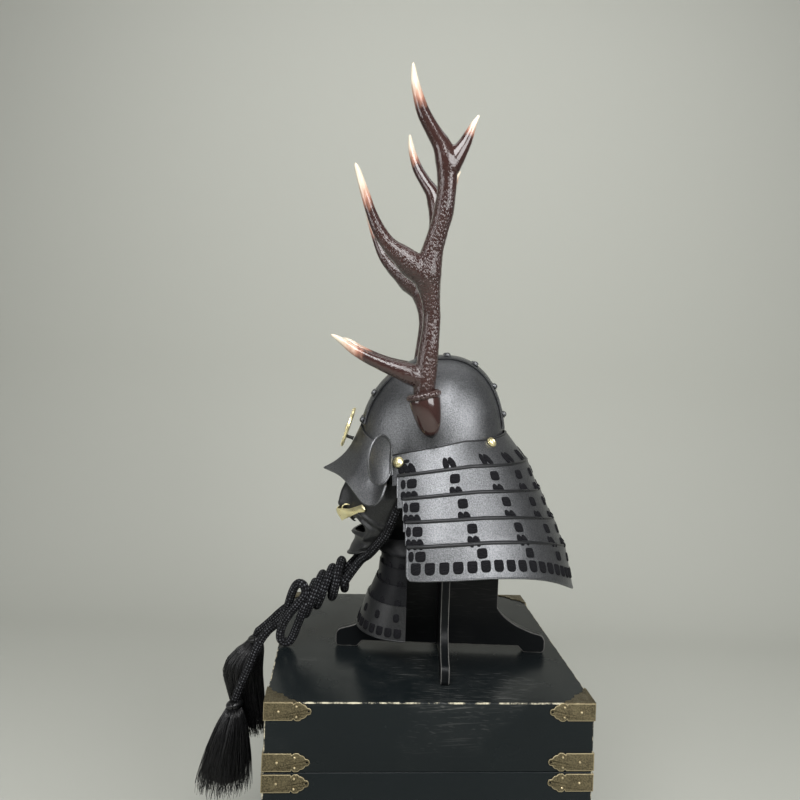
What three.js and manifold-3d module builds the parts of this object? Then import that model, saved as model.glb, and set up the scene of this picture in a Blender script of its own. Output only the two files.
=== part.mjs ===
// Kabuto samurai helmet with its face mask, on a cross stand and an armour box.
// Lengths are millimetres and +Z is up. The helmet looks towards -Y and its wearer's left is +X.
// The origin is on the floor under the crossing of the stand's two boards.
import * as THREE from 'three';
import { mergeVertices } from 'three/addons/utils/BufferGeometryUtils.js';
import Module from 'manifold-3d';

const wasm = await Module();
wasm.setup();

const seatGap = 0.3;

// Armour box
const boxWidth = 430;
const boxDepth = 430;
const boxHeight = 400;
const lidHeight = 90;
const boxWall = 12;
const lidLipHeight = 14;
const lidLipWall = 8;
const boxTurnDeg = 4;
const boxAside = -33;
const boxAhead = -34;

// Brass corner fittings
const brassLength = 60;
const brassHeight = 23;
const brassThickness = 1.2;
const brassInset = 2;

// Cross stand
const boardThickness = 12;
const postHalfWidth = 86;
const sideFootHalf = 160;
const crossFootHalf = 134;
const footHeight = 66;
const toeHeight = 28;
const footArch = 9;
const footLanding = 32;
const shoulderStep = 9;
const boardTopRise = 200;
const shoulderHeight = 283;
const lapHeight = 200;

// Bowl, with its centre between the front and rear curves at rim height
const bowlAhead = -8;
const rimHeight = 308;
const bowlFront = 125;
const bowlRear = 93;
const bowlHalfWidth = 93;
const bowlHeight = 139.5;
const bowlWall = 3;
const rimTiltDeg = 8.2;
const rimFrontDrop = 17;
const skirtDepth = 40;
const domeSides = 28;
const domeRings = 7;

// Crown band with its rivets
const bandHalfWidth = 26;
const bandThickness = 2.4;
const rivetRadius = 3.8;
const rivetPitch = 44;
const rivetRowOffset = 19;
const rivetCount = 8;
const rivetShift = 9;

// Visor
const visorReach = 179;
const visorHalfWidth = 110;
const visorDrop = 72;
const visorTop = 33;
const visorWall = 2.5;

// Turned-back flaps
const flapHeight = 70;
const flapWidth = 46;
const flapWall = 2.5;
const flapDish = 5;
const flapOutDeg = 43;
const flapAhead = 4;
const flapRise = 11;
const flapTabRise = 15;

// Neck guard
const hemHalfWidth = 180;
const hemReach = 205;
const hemRearDrop = 232;
const hemSideDrop = 170;
const hemFrontDrop = 157;
const guardTopRear = 31;
const guardTopSide = 23;
const guardSetback = -7;
const guardFrontReach = 130;
const lameWall = 1.8;
const lameGap = 0.95;
const lameOverlap = 15;
const hemCorner = 9;
const lameSteps = 26;

// Gold rivets
const goldRivetRadius = 6.6;
const goldRivetHeight = 4;

// Crest
const crestRadius = 31;
const crestThickness = 3.5;
const crestTiltDeg = 17;
const crestPegRadius = 2.6;
const crestPegLength = 11;
const crestPegHeight = 9.5;
const crestSeatAhead = 12;
const crestAbovePeg = 14;

// Antlers
const antlerRise = 450;
const antlerReach = 150;
const antlerSpread = 54;
const beamRadius = 14;
const footOut = 109;
const footAhead = 20.5;
const footHeightUp = 27.7;
const footRadius = 21.5;
const footLength = 59;
const footLeanDeg = 13.5;
const burrRadius = 18.5;
const burrBead = 4;
const pinRadius = 4;
const pinLength = 36;
const pinHeight = 24;

// Face mask
const maskHalfWidth = 74;
const maskDepth = 76;
const maskHeight = 116;
const maskFront = 147;
const maskTop = 258;
const maskWall = 2.5;
const noseLength = 17;
const mouthHalfWidth = 30;
const mouthHalfHeight = 8.5;
const mouthDrop = 72;
const lipPlateWall = 1.6;

// Throat guard
const throatHalfWidth = 78;
const throatReach = 73;
const throatHeight = 140;
const throatFootDrop = 105;
const throatRear = -56;
const throatWall = 1.8;
const throatOverlap = 7;

// Chin cord
const cordDiameter = 13;
const cordSides = 8;
const knotStartRadius = 24;
const knotEndRadius = 36;
const loopRadius = 13;
const loopHeight = 88.6;

// Tassels
const tasselCollarRadius = 10;
const tasselCollarLength = 12;
const tasselLength = 128;
const tasselRadius = 41;
const shortTasselLength = 148;
const shortTasselRadius = 28;

const helmetCentre = new THREE.Vector3(0, bowlAhead, boxHeight + rimHeight);
const radians = THREE.MathUtils.degToRad;
const lerp = THREE.MathUtils.lerp;

// The signed volume tells whether the faces of a closed mesh point out.
function signedVolume(geometry) {
  const p = geometry.attributes.position;
  const index = geometry.index.array;
  const a = new THREE.Vector3();
  const b = new THREE.Vector3();
  const c = new THREE.Vector3();
  let sum = 0;
  for (let i = 0; i < index.length; i += 3) {
    a.fromBufferAttribute(p, index[i]);
    b.fromBufferAttribute(p, index[i + 1]);
    c.fromBufferAttribute(p, index[i + 2]);
    sum += a.dot(b.cross(c));
  }
  return sum / 6;
}

// One closed mesh with shared corners and its faces pointing out.
function closed(geometry) {
  const bare = geometry.clone();
  bare.deleteAttribute('normal');
  bare.deleteAttribute('uv');
  const merged = mergeVertices(bare, 1e-3);
  if (signedVolume(merged) < 0) {
    const index = merged.index.array;
    for (let i = 0; i < index.length; i += 3) {
      const first = index[i];
      index[i] = index[i + 1];
      index[i + 1] = first;
    }
  }
  return merged;
}

function solidOf(geometry) {
  const mesh = closed(geometry);
  return new wasm.Manifold(new wasm.Mesh({
    numProp: 3,
    vertProperties: Float32Array.from(mesh.attributes.position.array),
    triVerts: Uint32Array.from(mesh.index.array),
  }));
}

function geometryOf(solid) {
  const mesh = solid.getMesh();
  const geometry = new THREE.BufferGeometry();
  geometry.setAttribute('position', new THREE.BufferAttribute(Float32Array.from(mesh.vertProperties), 3));
  geometry.setIndex(new THREE.BufferAttribute(Uint32Array.from(mesh.triVerts), 1));
  geometry.computeVertexNormals();
  return geometry;
}

function joined(...geometries) {
  return geometryOf(geometries.map(solidOf).reduce((sum, next) => sum.add(next)));
}

function cut(geometry, ...tools) {
  return geometryOf(tools.map(solidOf).reduce((rest, tool) => rest.subtract(tool), solidOf(geometry)));
}

function moved(geometry, x, y, z) {
  return geometry.clone().translate(x, y, z);
}

function block(x0, x1, y0, y1, z0, z1) {
  const box = new THREE.BoxGeometry(x1 - x0, y1 - y0, z1 - z0);
  return box.translate((x0 + x1) / 2, (y0 + y1) / 2, (z0 + z1) / 2);
}

// Each point of a geometry goes where place(x, y, z) says.
function bent(geometry, place) {
  const result = geometry.clone();
  const p = result.attributes.position;
  for (let i = 0; i < p.count; i++) {
    const to = place(p.getX(i), p.getY(i), p.getZ(i));
    p.setXYZ(i, to.x, to.y, to.z);
  }
  return result;
}

// A sheet with a wall: u and v run from 0 to 1 over it, and w from its inner to its outer face.
function sheet(uSteps, vSteps, faces) {
  const slab = new THREE.BoxGeometry(1, 1, 1, uSteps, vSteps, 1);
  return closed(bent(slab, (x, y, z) => faces(x + 0.5, y + 0.5, z > 0 ? 1 : 0)));
}

// A tapering limb along a curve, with radiusAt giving its radius at each share of its length.
function limb(curve, radiusAt, sides, steps) {
  const frames = curve.computeFrenetFrames(steps, false);
  const rod = new THREE.CylinderGeometry(1, 1, 1, sides, steps);
  return closed(bent(rod, (x, y, z) => {
    const t = y + 0.5;
    const step = Math.round(t * steps);
    const centre = curve.getPointAt(t);
    const radius = radiusAt(t);
    return centre.addScaledVector(frames.normals[step], x * radius)
      .addScaledVector(frames.binormals[step], z * radius);
  }));
}

function cordTube(points, steps) {
  const path = new THREE.CatmullRomCurve3(points.map((p) => new THREE.Vector3(...p)), false, 'centripetal');
  const section = new THREE.Shape();
  for (let i = 0; i < cordSides; i++) {
    const angle = (2 * Math.PI * i) / cordSides;
    const x = (Math.cos(angle) * cordDiameter) / 2;
    const y = (Math.sin(angle) * cordDiameter) / 2;
    if (i === 0) section.moveTo(x, y);
    else section.lineTo(x, y);
  }
  return closed(new THREE.ExtrudeGeometry(section, { steps, extrudePath: path }));
}

const finishes = {
  blackIron: { color: 0x33363a, roughness: 0.42, metalness: 0.35 },
  blackLacquer: { color: 0x17191b, roughness: 0.3, metalness: 0 },
  blackBoard: { color: 0x14181c, roughness: 0.45, metalness: 0 },
  agedBrass: { color: 0x6e624a, roughness: 0.5, metalness: 0.8 },
  gold: { color: 0xe2cc62, roughness: 0.2, metalness: 1 },
  antlerBrown: { color: 0x4a2a26, roughness: 0.2, metalness: 0 },
  cordBlack: { color: 0x2a2b2d, roughness: 0.85, metalness: 0 },
  silkBlack: { color: 0x121315, roughness: 0.7, metalness: 0 },
};

function piece(name, geometry, finish) {
  const mesh = new THREE.Mesh(geometry, new THREE.MeshStandardMaterial(finishes[finish]));
  mesh.name = name;
  return mesh;
}

// The box body is open at the top. A lip inside its walls locates the lid.
function boxBody() {
  const top = boxHeight - lidHeight - seatGap / 2;
  const outer = block(-boxWidth / 2, boxWidth / 2, -boxDepth / 2, boxDepth / 2, 0, top);
  const innerX = boxWidth / 2 - boxWall;
  const innerY = boxDepth / 2 - boxWall;
  const lipX = innerX - seatGap;
  const lipY = innerY - seatGap;
  const rise = top + lidLipHeight;
  const lip = block(-lipX, lipX, -lipY, lipY, top - lidLipHeight, rise);
  const hollow = block(-lipX + lidLipWall, lipX - lidLipWall, -lipY + lidLipWall, lipY - lidLipWall, boxWall, rise + 1);
  return geometryOf(solidOf(outer).add(solidOf(lip)).subtract(solidOf(hollow)));
}

function boxLid() {
  const bottom = boxHeight - lidHeight + seatGap / 2;
  const outer = block(-boxWidth / 2, boxWidth / 2, -boxDepth / 2, boxDepth / 2, bottom, boxHeight);
  const innerX = boxWidth / 2 - boxWall;
  const innerY = boxDepth / 2 - boxWall;
  return cut(outer, block(-innerX, innerX, -innerY, innerY, bottom - 1, boxHeight - boxWall));
}

// A brass finger lies on one face of the box: a strap with two scallops and a round tip.
function brassFinger(length) {
  const h = brassHeight / 2;
  const half = [
    { along: 0, up: 1 },
    { along: 0.6, up: 1 },
    { along: 0.8, up: 0.72 },
    { along: 0.86, up: 0.36 },
    { along: 1, up: 0 },
  ];
  const upper = half.map((p) => new THREE.Vector2(p.along * length, p.up * h));
  const lower = half.slice(0, -1).reverse().map((p) => new THREE.Vector2(p.along * length, -p.up * h));
  const outline = new THREE.Shape([...upper, ...lower]);
  return new THREE.ExtrudeGeometry(outline, { depth: brassThickness, bevelEnabled: false });
}

// One fitting wraps a vertical corner of the box, and on the lid's top edge it folds over the top.
function brassCorner(withTop) {
  const t = brassThickness;
  const across = brassFinger(brassLength).rotateX(Math.PI / 2).translate(-t, 0, 0);
  const along = brassFinger(brassLength).rotateX(Math.PI / 2).rotateZ(Math.PI / 2).translate(-t, -t, 0);
  if (!withTop) return joined(across, along);
  const top = brassHeight / 2;
  const reach = brassLength * 0.7;
  const web = new THREE.Shape([[-t, -t], [reach, -t], [reach * 0.6, reach * 0.3], [reach * 0.55, reach * 0.55],
    [reach * 0.3, reach * 0.6], [-t, reach]].map(([x, y]) => new THREE.Vector2(x, y)));
  const wing = new THREE.ExtrudeGeometry(web, { depth: t, bevelEnabled: false }).translate(0, 0, top);
  const nearFold = block(-t, reach * 0.55, -t, 0, top - 2 * t, top + t);
  const sideFold = block(-t, 0, -t, reach * 0.55, top - 2 * t, top + t);
  return joined(across, along, wing, nearFold, sideFold);
}

function armourBox() {
  const box = new THREE.Group();
  box.add(piece('box_body', boxBody(), 'blackLacquer'));
  box.add(piece('box_lid', boxLid(), 'blackLacquer'));
  const seam = boxHeight - lidHeight;
  const half = brassHeight / 2;
  const levels = [
    { name: 'lid_top', z: boxHeight + seatGap - half, top: true },
    { name: 'lid_bottom', z: seam + brassInset + half, top: false },
    { name: 'body_top', z: seam - brassInset - half, top: false },
    { name: 'body_bottom', z: brassInset + half, top: false },
  ];
  const corners = [
    { name: 'left_front', x: 1, y: -1, turn: 90 },
    { name: 'left_rear', x: 1, y: 1, turn: 180 },
    { name: 'right_rear', x: -1, y: 1, turn: 270 },
    { name: 'right_front', x: -1, y: -1, turn: 0 },
  ];
  for (const level of levels) {
    for (const corner of corners) {
      const fitting = piece(`brass_${level.name}_${corner.name}`, brassCorner(level.top), 'agedBrass');
      const x = corner.x * (boxWidth / 2 + seatGap);
      const y = corner.y * (boxDepth / 2 + seatGap);
      fitting.position.set(x, y, level.z);
      fitting.rotation.z = radians(corner.turn);
      box.add(fitting);
    }
  }
  box.position.set(boxAside, boxAhead, 0);
  box.rotation.z = radians(boxTurnDeg);
  return box;
}

// The bowl is an egg-shaped dome, fuller behind than in front.
// Turn 0 looks to the rear and 180 degrees to the front, and rise goes from the rim to the crown.
function domeFullness(toRear) {
  return 2.22 + 0.1 * toRear;
}

function domePoint(turn, rise, grow) {
  const toRear = Math.cos(turn);
  const power = 2 / domeFullness(toRear);
  const flat = Math.pow(Math.max(Math.cos(rise), 0), power);
  const up = Math.pow(Math.max(Math.sin(rise), 0), power);
  const reach = toRear > 0 ? bowlRear : bowlFront;
  return new THREE.Vector3(
    (bowlHalfWidth + grow) * flat * Math.sin(turn),
    (reach + grow) * flat * toRear,
    (bowlHeight + grow) * up,
  );
}

function domeSolid(grow, sides, rings) {
  const profile = [new THREE.Vector2(0, -1), new THREE.Vector2(1, -1)];
  for (let i = 0; i <= rings; i++) {
    const rise = (i / rings) * (Math.PI / 2);
    profile.push(new THREE.Vector2(i === rings ? 0 : Math.cos(rise), Math.sin(rise)));
  }
  const turned = new THREE.LatheGeometry(profile, sides);
  return closed(bent(turned, (x, y, z) => {
    const turn = Math.atan2(x, z);
    if (y >= 0) {
      const place = domePoint(turn, Math.atan2(y, Math.hypot(x, z)), grow);
      return Math.hypot(x, z) < 1e-6 ? new THREE.Vector3(0, 0, bowlHeight + grow) : place;
    }
    const foot = domePoint(turn, 0, grow);
    const share = Math.hypot(x, z) > 0.5 ? 1 : 0;
    return new THREE.Vector3(foot.x * share, foot.y * share, y * skirtDepth);
  }));
}

function belowRim(lift) {
  const size = 4 * bowlFront;
  const slab = new THREE.BoxGeometry(size, size, size);
  slab.translate(0, 0, -size / 2);
  slab.rotateX(radians(rimTiltDeg));
  return slab.translate(0, -bowlFront, lift - rimFrontDrop);
}

function bowl() {
  const outer = domeSolid(0, domeSides, domeRings);
  const inner = domeSolid(-bowlWall, domeSides, domeRings);
  const holes = [-1, 1].map((side) => pinAt(side, seatGap));
  return cut(outer, inner, belowRim(0), ...holes);
}

// The crown band follows the dome from its front rim over the top to its rear rim.
// Its angle goes from 0 at the front to 180 degrees behind.
function bandPoint(angle, across, grow) {
  const q = across / (bowlHalfWidth + grow);
  const side = -Math.cos(angle);
  let low = 0;
  let high = 1.2;
  for (let i = 0; i < 40; i++) {
    const middle = (low + high) / 2;
    const y = middle * side;
    const r = Math.hypot(y, q);
    const fullness = domeFullness(y / r);
    const value = Math.pow(r, fullness) + Math.pow(middle * Math.sin(angle), fullness);
    if (value > 1) high = middle;
    else low = middle;
  }
  const reach = (side > 0 ? bowlRear : bowlFront) + grow;
  return new THREE.Vector3(across, low * side * reach, low * Math.sin(angle) * (bowlHeight + grow));
}

function bandAngles(count, pitch) {
  const angles = [];
  const step = radians(0.5);
  const target = ((count - 1) * pitch) / 2;
  let length = 0;
  const run = [];
  let last = bandPoint(0, 0, 0);
  for (let angle = 0; angle <= Math.PI; angle += step) {
    const here = bandPoint(angle, 0, 0);
    length += here.distanceTo(last);
    run.push({ angle, length });
    last = here;
  }
  const middle = length / 2 - rivetShift;
  for (let i = 0; i < count; i++) {
    const want = middle - target + i * pitch;
    angles.push(run.find((row) => row.length >= want).angle);
  }
  return angles;
}

function crownBand() {
  const strip = sheet(22, 4, (u, v, w) => {
    const angle = u * Math.PI;
    const across = (v - 0.5) * 2 * bandHalfWidth;
    return bandPoint(angle, across, 3.5 * seatGap + w * bandThickness);
  });
  const rivets = [];
  for (const angle of bandAngles(rivetCount, rivetPitch)) {
    for (const side of [-1, 1]) {
      const head = new THREE.SphereGeometry(rivetRadius, 6, 3);
      const at = bandPoint(angle, side * rivetRowOffset, 3 * seatGap + bandThickness);
      rivets.push(head.translate(at.x, at.y, at.z));
    }
  }
  const reach = 2 * bowlFront;
  const foot = visorTop + 1.5;
  return cut(joined(strip, ...rivets), block(-reach, reach, -reach, reach, -skirtDepth, foot));
}

// The visor's free edge from the centre to the side, as shares of its named sizes.
const visorEdge = [
  { across: 0, ahead: 1, down: 0.53 },
  { across: 0.32, ahead: 0.864, down: 0.583 },
  { across: 0.64, ahead: 0.769, down: 0.669 },
  { across: 0.82, ahead: 0.695, down: 0.82 },
  { across: 0.93, ahead: 0.64, down: 0.94 },
  { across: 0.98, ahead: 0.581, down: 1 },
  { across: 1, ahead: 0.53, down: 0.96 },
  { across: 0.99, ahead: 0.49, down: 0.83 },
  { across: 0.95, ahead: 0.462, down: 0.61 },
];
const visorWrapDeg = 50;

function visorEdgeCurve() {
  const half = visorEdge.map((row) => new THREE.Vector3(
    row.across * visorHalfWidth,
    -row.ahead * visorReach,
    -row.down * visorDrop,
  ));
  return new THREE.CatmullRomCurve3(half, false, 'centripetal');
}

function visor() {
  const edge = visorEdgeCurve();
  return sheet(20, 5, (u, v, w) => {
    const side = u * 2 - 1;
    const share = Math.abs(side);
    const free = edge.getPoint(share);
    const wrap = Math.PI - share * radians(visorWrapDeg);
    const level = lerp(visorTop, 4, share ** 1.2) / bowlHeight;
    const rise = Math.asin(level ** (domeFullness(Math.cos(wrap)) / 2));
    const root = domePoint(wrap, rise, 2 * seatGap);
    const flare = 0.5 * v + 0.5 * v ** 4;
    const place = new THREE.Vector3(
      lerp(root.x, free.x, flare),
      lerp(root.y, free.y, flare),
      lerp(root.z, free.z, v),
    );
    const out = new THREE.Vector3(Math.sin(wrap), Math.cos(wrap), 0.9 * v).normalize();
    place.addScaledVector(out, w * visorWall);
    place.x *= Math.sign(side) || 1;
    return place;
  });
}

// Edges of the neck guard's lames, from the top one to the hem, as shares of the guard's sizes.
const guardLines = [
  { out: 0, back: 0, rear: 0, side: 0, front: 0 },
  { out: 0.24, back: 0.31, rear: 0.17, side: 0.19, front: 0.18 },
  { out: 0.44, back: 0.5, rear: 0.356, side: 0.38, front: 0.37 },
  { out: 0.63, back: 0.7, rear: 0.542, side: 0.57, front: 0.55 },
  { out: 0.83, back: 0.87, rear: 0.712, side: 0.74, front: 0.74 },
  { out: 1, back: 1, rear: 1, side: 1, front: 1 },
];
const lameEndsDeg = [122, 117.5, 113, 110.7, 109.4];
const guardTopHalfWidth = bowlHalfWidth + lameWall + 3 * seatGap;
const guardTopReach = bowlRear + lameWall + 4 * seatGap;

// Level counts the lames down from 0 at the top edge, and turn is 0 at the rear.
function guardPoint(level, turn, grow) {
  const row = Math.min(Math.floor(level), guardLines.length - 2);
  const a = guardLines[row];
  const b = guardLines[row + 1];
  const t = level - row;
  const share = (key) => lerp(a[key], b[key], t);
  const width = lerp(guardTopHalfWidth, hemHalfWidth, share('out')) + grow;
  const rearReach = lerp(guardTopReach, hemReach, share('back')) - guardSetback + grow;
  const c = Math.cos(turn);
  const rearZ = guardTopRear - hemRearDrop * share('rear');
  const sideZ = guardTopSide - hemSideDrop * share('side');
  const frontZ = -hemFrontDrop * share('front');
  const turnDeg = Math.abs(THREE.MathUtils.radToDeg(turn));
  const forward = Math.max(turnDeg - 70, 0) / 48;
  const z = lerp(sideZ, rearZ, c > 0 ? c ** 4 : 0) + (frontZ - sideZ) * forward ** 1.2;
  return new THREE.Vector3(width * Math.sin(turn), guardSetback + (c > 0 ? rearReach : guardFrontReach + grow) * c, z);
}

// Along a lame the first and last steps are short, so that the hem's corners come out round.
function lameTurn(u, end) {
  const corner = hemCorner / hemHalfWidth;
  const step = Math.round(u * lameSteps);
  const fromEnd = Math.min(step, lameSteps - step);
  const middle = lameSteps / 2;
  const short = [0, 0.12, 0.45, 1];
  const turn = fromEnd < 3
    ? end - corner * short[fromEnd]
    : ((end - corner) * (middle - fromEnd)) / (middle - 3);
  return step < middle ? -turn : turn;
}

function lame(index) {
  const last = index === guardLines.length - 2;
  const end = radians(lameEndsDeg[index]);
  const overlapShare = last ? 0 : lameOverlap / (hemSideDrop * 0.2);
  return sheet(lameSteps, 2, (u, v, w) => {
    const turn = lameTurn(u, end);
    const levels = last ? [0, 0.5, 1] : [0, 1, 1 + overlapShare];
    let down = levels[Math.round(v * 2)];
    if (last) {
      const short = Math.max(hemCorner - (end - Math.abs(turn)) * hemHalfWidth, 0);
      const lift = hemCorner - Math.sqrt(hemCorner ** 2 - short ** 2);
      down -= (down * lift) / (hemFrontDrop * 0.26);
    }
    const inset = last ? 0 : down * (lameWall + lameGap);
    return guardPoint(index + down, turn, (w - 1) * lameWall - inset);
  });
}

// Gold rivets sit on the top lame, two on each side.
const goldRivets = [
  { name: 'front', turnDeg: 117, level: 0.44 },
  { name: 'rear', turnDeg: 47, level: 0.17 },
];

function goldRivet(row, side) {
  const turn = side * radians(row.turnDeg);
  const profile = [[0, 0], [1, 0], [0.95, 0.45], [0.6, 0.9], [0, 1]];
  const head = new THREE.LatheGeometry(
    profile.map(([r, h]) => new THREE.Vector2(r * goldRivetRadius, h * goldRivetHeight)),
    10,
  );
  const inset = row.level * (lameWall + lameGap);
  const at = guardPoint(row.level, turn, -inset);
  const step = 0.02;
  const along = guardPoint(row.level, turn + step, -inset).sub(at);
  const down = guardPoint(row.level + step, turn, -inset).sub(at);
  const out = along.cross(down).normalize();
  if (out.x * at.x < 0) out.negate();
  const gold = piece(`gold_rivet_${row.name}_${side > 0 ? 'left' : 'right'}`, closed(head), 'gold');
  gold.quaternion.setFromUnitVectors(new THREE.Vector3(0, 1, 0), out);
  gold.position.copy(at.addScaledVector(out, 0.9));
  return gold;
}

// A flap is a dished oval that leaves the top lame's front end, forwards and outwards.
function flap(side) {
  const disc = new THREE.LatheGeometry([[0, 0], [0.5, 0], [1, 0], [1, 1], [0.5, 1], [0, 1]].map(
    ([r, h]) => new THREE.Vector2(r, h),
  ), 18);
  const fold = guardPoint(0.55, radians(lameEndsDeg[0]), -0.55 * (lameWall + lameGap));
  const out = radians(flapOutDeg);
  const reach = flapWidth * 0.42;
  const centre = new THREE.Vector3(
    fold.x + reach * Math.sin(out) + 5,
    fold.y - reach * Math.cos(out) - flapAhead,
    fold.z + flapRise,
  );
  const tab = block(side > 0 ? fold.x : -fold.x - 6, side > 0 ? fold.x + 6 : -fold.x,
    fold.y - 8, fold.y - seatGap, fold.z - 9, fold.z + flapTabRise);
  return joined(tab, bent(disc, (x, y, z) => {
    const r = Math.hypot(x, z);
    const across = Math.max((x * flapWidth) / 2, -reach);
    const depth = (y - 0.5) * flapWall + flapDish * (r * r - 0.5);
    return new THREE.Vector3(
      side * (centre.x + across * Math.sin(out) + depth * Math.cos(out)),
      centre.y - across * Math.cos(out) + depth * Math.sin(out),
      centre.z + (z * flapHeight) / 2,
    );
  }));
}

// The crest is a pierced gold disc on a short peg at the visor's root.
function crestPlate() {
  const disc = new THREE.Shape();
  disc.absarc(0, 0, crestRadius, 0, 2 * Math.PI, false);
  const petals = 8;
  for (let i = 0; i < petals; i++) {
    const middle = (2 * Math.PI * i) / petals;
    const half = Math.PI / petals - 0.13;
    const hole = new THREE.Path();
    hole.moveTo(crestRadius * 0.34 * Math.cos(middle), crestRadius * 0.34 * Math.sin(middle));
    hole.lineTo(crestRadius * 0.8 * Math.cos(middle - half), crestRadius * 0.8 * Math.sin(middle - half));
    hole.lineTo(crestRadius * 0.86 * Math.cos(middle), crestRadius * 0.86 * Math.sin(middle));
    hole.lineTo(crestRadius * 0.8 * Math.cos(middle + half), crestRadius * 0.8 * Math.sin(middle + half));
    disc.holes.push(hole);
  }
  const plate = new THREE.ExtrudeGeometry(disc, { depth: crestThickness, bevelEnabled: false, curveSegments: 10 });
  return closed(plate.translate(0, 0, -crestThickness / 2));
}

// The peg leans up from the visor's root and meets the disc below its middle.
function crestSeat() {
  const root = domePoint(Math.PI, Math.asin(visorTop / bowlHeight), 0);
  return new THREE.Vector3(0, root.y - visorWall - crestSeatAhead, crestPegHeight);
}

function crestPeg() {
  const seat = crestSeat();
  const peg = new THREE.CylinderGeometry(crestPegRadius, crestPegRadius, crestPegLength, 8);
  peg.translate(0, crestPegLength / 2, 0).rotateX(Math.PI - radians(crestTiltDeg));
  return closed(peg.translate(0, seat.y, seat.z));
}

// Antler limbs from base to tip. Up, back and out are shares of the antler's rise, reach and
// spread, counted from the burr, and radius is a share of the beam's radius.
const antlerLimbs = {
  beam: [
    { up: 0, back: 0, out: 0, radius: 1.1 },
    { up: 0.06, back: 0.011, out: 0.03, radius: 1.1 },
    { up: 0.118, back: 0.023, out: 0.06, radius: 1.04 },
    { up: 0.167, back: 0.036, out: 0.09, radius: 0.98 },
    { up: 0.234, back: 0.047, out: 0.13, radius: 0.86 },
    { up: 0.28, back: 0.037, out: 0.17, radius: 0.9 },
    { up: 0.32, back: 0.018, out: 0.2, radius: 1.08 },
    { up: 0.37, back: -0.01, out: 0.26, radius: 1.3 },
    { up: 0.433, back: 0.021, out: 0.33, radius: 1.12 },
    { up: 0.496, back: 0.068, out: 0.4, radius: 0.97 },
    { up: 0.556, back: 0.111, out: 0.48, radius: 0.98 },
    { up: 0.62, back: 0.133, out: 0.56, radius: 0.94 },
    { up: 0.67, back: 0.13, out: 0.62, radius: 1 },
    { up: 0.71, back: 0.118, out: 0.67, radius: 1.1 },
    { up: 0.75, back: 0.075, out: 0.71, radius: 0.94 },
    { up: 0.79, back: -0.007, out: 0.77, radius: 0.76 },
    { up: 0.842, back: -0.102, out: 0.84, radius: 0.66 },
    { up: 0.898, back: -0.164, out: 0.91, radius: 0.51 },
    { up: 0.934, back: -0.193, out: 0.95, radius: 0.4 },
    { up: 0.984, back: -0.213, out: 1, radius: 0.12 },
  ],
  brow_tine: [
    { up: 0.05, back: -0.02, out: 0.02, radius: 1.05 },
    { up: 0.066, back: -0.137, out: 0.04, radius: 1.1 },
    { up: 0.08, back: -0.268, out: 0.06, radius: 0.87 },
    { up: 0.095, back: -0.403, out: 0.07, radius: 0.72 },
    { up: 0.115, back: -0.548, out: 0.09, radius: 0.62 },
    { up: 0.138, back: -0.679, out: 0.11, radius: 0.49 },
    { up: 0.164, back: -0.792, out: 0.13, radius: 0.32 },
    { up: 0.18, back: -0.881, out: 0.15, radius: 0.1 },
  ],
  front_tine: [
    { up: 0.36, back: -0.03, out: 0.26, radius: 1.1 },
    { up: 0.396, back: -0.147, out: 0.28, radius: 1.15 },
    { up: 0.42, back: -0.231, out: 0.3, radius: 1.05 },
    { up: 0.455, back: -0.362, out: 0.34, radius: 0.8 },
    { up: 0.494, back: -0.458, out: 0.38, radius: 0.7 },
    { up: 0.549, back: -0.539, out: 0.42, radius: 0.54 },
    { up: 0.609, back: -0.605, out: 0.46, radius: 0.46 },
    { up: 0.675, back: -0.675, out: 0.5, radius: 0.3 },
    { up: 0.698, back: -0.703, out: 0.52, radius: 0.1 },
  ],
  rear_tine: [
    { up: 0.69, back: 0.15, out: 0.63, radius: 0.9 },
    { up: 0.725, back: 0.21, out: 0.67, radius: 0.78 },
    { up: 0.758, back: 0.271, out: 0.71, radius: 0.66 },
    { up: 0.793, back: 0.319, out: 0.76, radius: 0.46 },
    { up: 0.817, back: 0.349, out: 0.8, radius: 0.31 },
    { up: 0.843, back: 0.394, out: 0.84, radius: 0.1 },
  ],
};

function antlerLimb(rows, sides, steps) {
  const points = rows.map((row) => new THREE.Vector3(
    row.out * antlerSpread,
    row.back * antlerReach,
    row.up * antlerRise,
  ));
  const curve = new THREE.CatmullRomCurve3(points, false, 'centripetal');
  const lengths = [0];
  for (let i = 1; i < points.length; i++) lengths.push(lengths[i - 1] + points[i].distanceTo(points[i - 1]));
  const whole = lengths[lengths.length - 1];
  const radiusAt = (t) => {
    const run = t * whole;
    const i = Math.max(1, lengths.findIndex((length) => length >= run - 1e-6));
    const share = (run - lengths[i - 1]) / (lengths[i] - lengths[i - 1]);
    return beamRadius * lerp(rows[i - 1].radius, rows[i].radius, share);
  };
  return limb(curve, radiusAt, sides, steps);
}

function footPlace(side) {
  return new THREE.Vector3(side * footOut, -footAhead, footHeightUp);
}

// A hidden pin carries the antler: it goes through the bowl's wall into the antler's foot.
function pinAt(side, grow) {
  const base = footPlace(side);
  const radius = pinRadius + grow;
  const pin = new THREE.CylinderGeometry(radius, radius, pinLength + 2 * grow, 10);
  pin.rotateZ(Math.PI / 2);
  const lean = radians(footLeanDeg);
  return pin.translate(
    base.x - (side * pinLength) / 2,
    base.y - pinHeight * Math.sin(lean),
    base.z + pinHeight * Math.cos(lean),
  );
}

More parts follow.
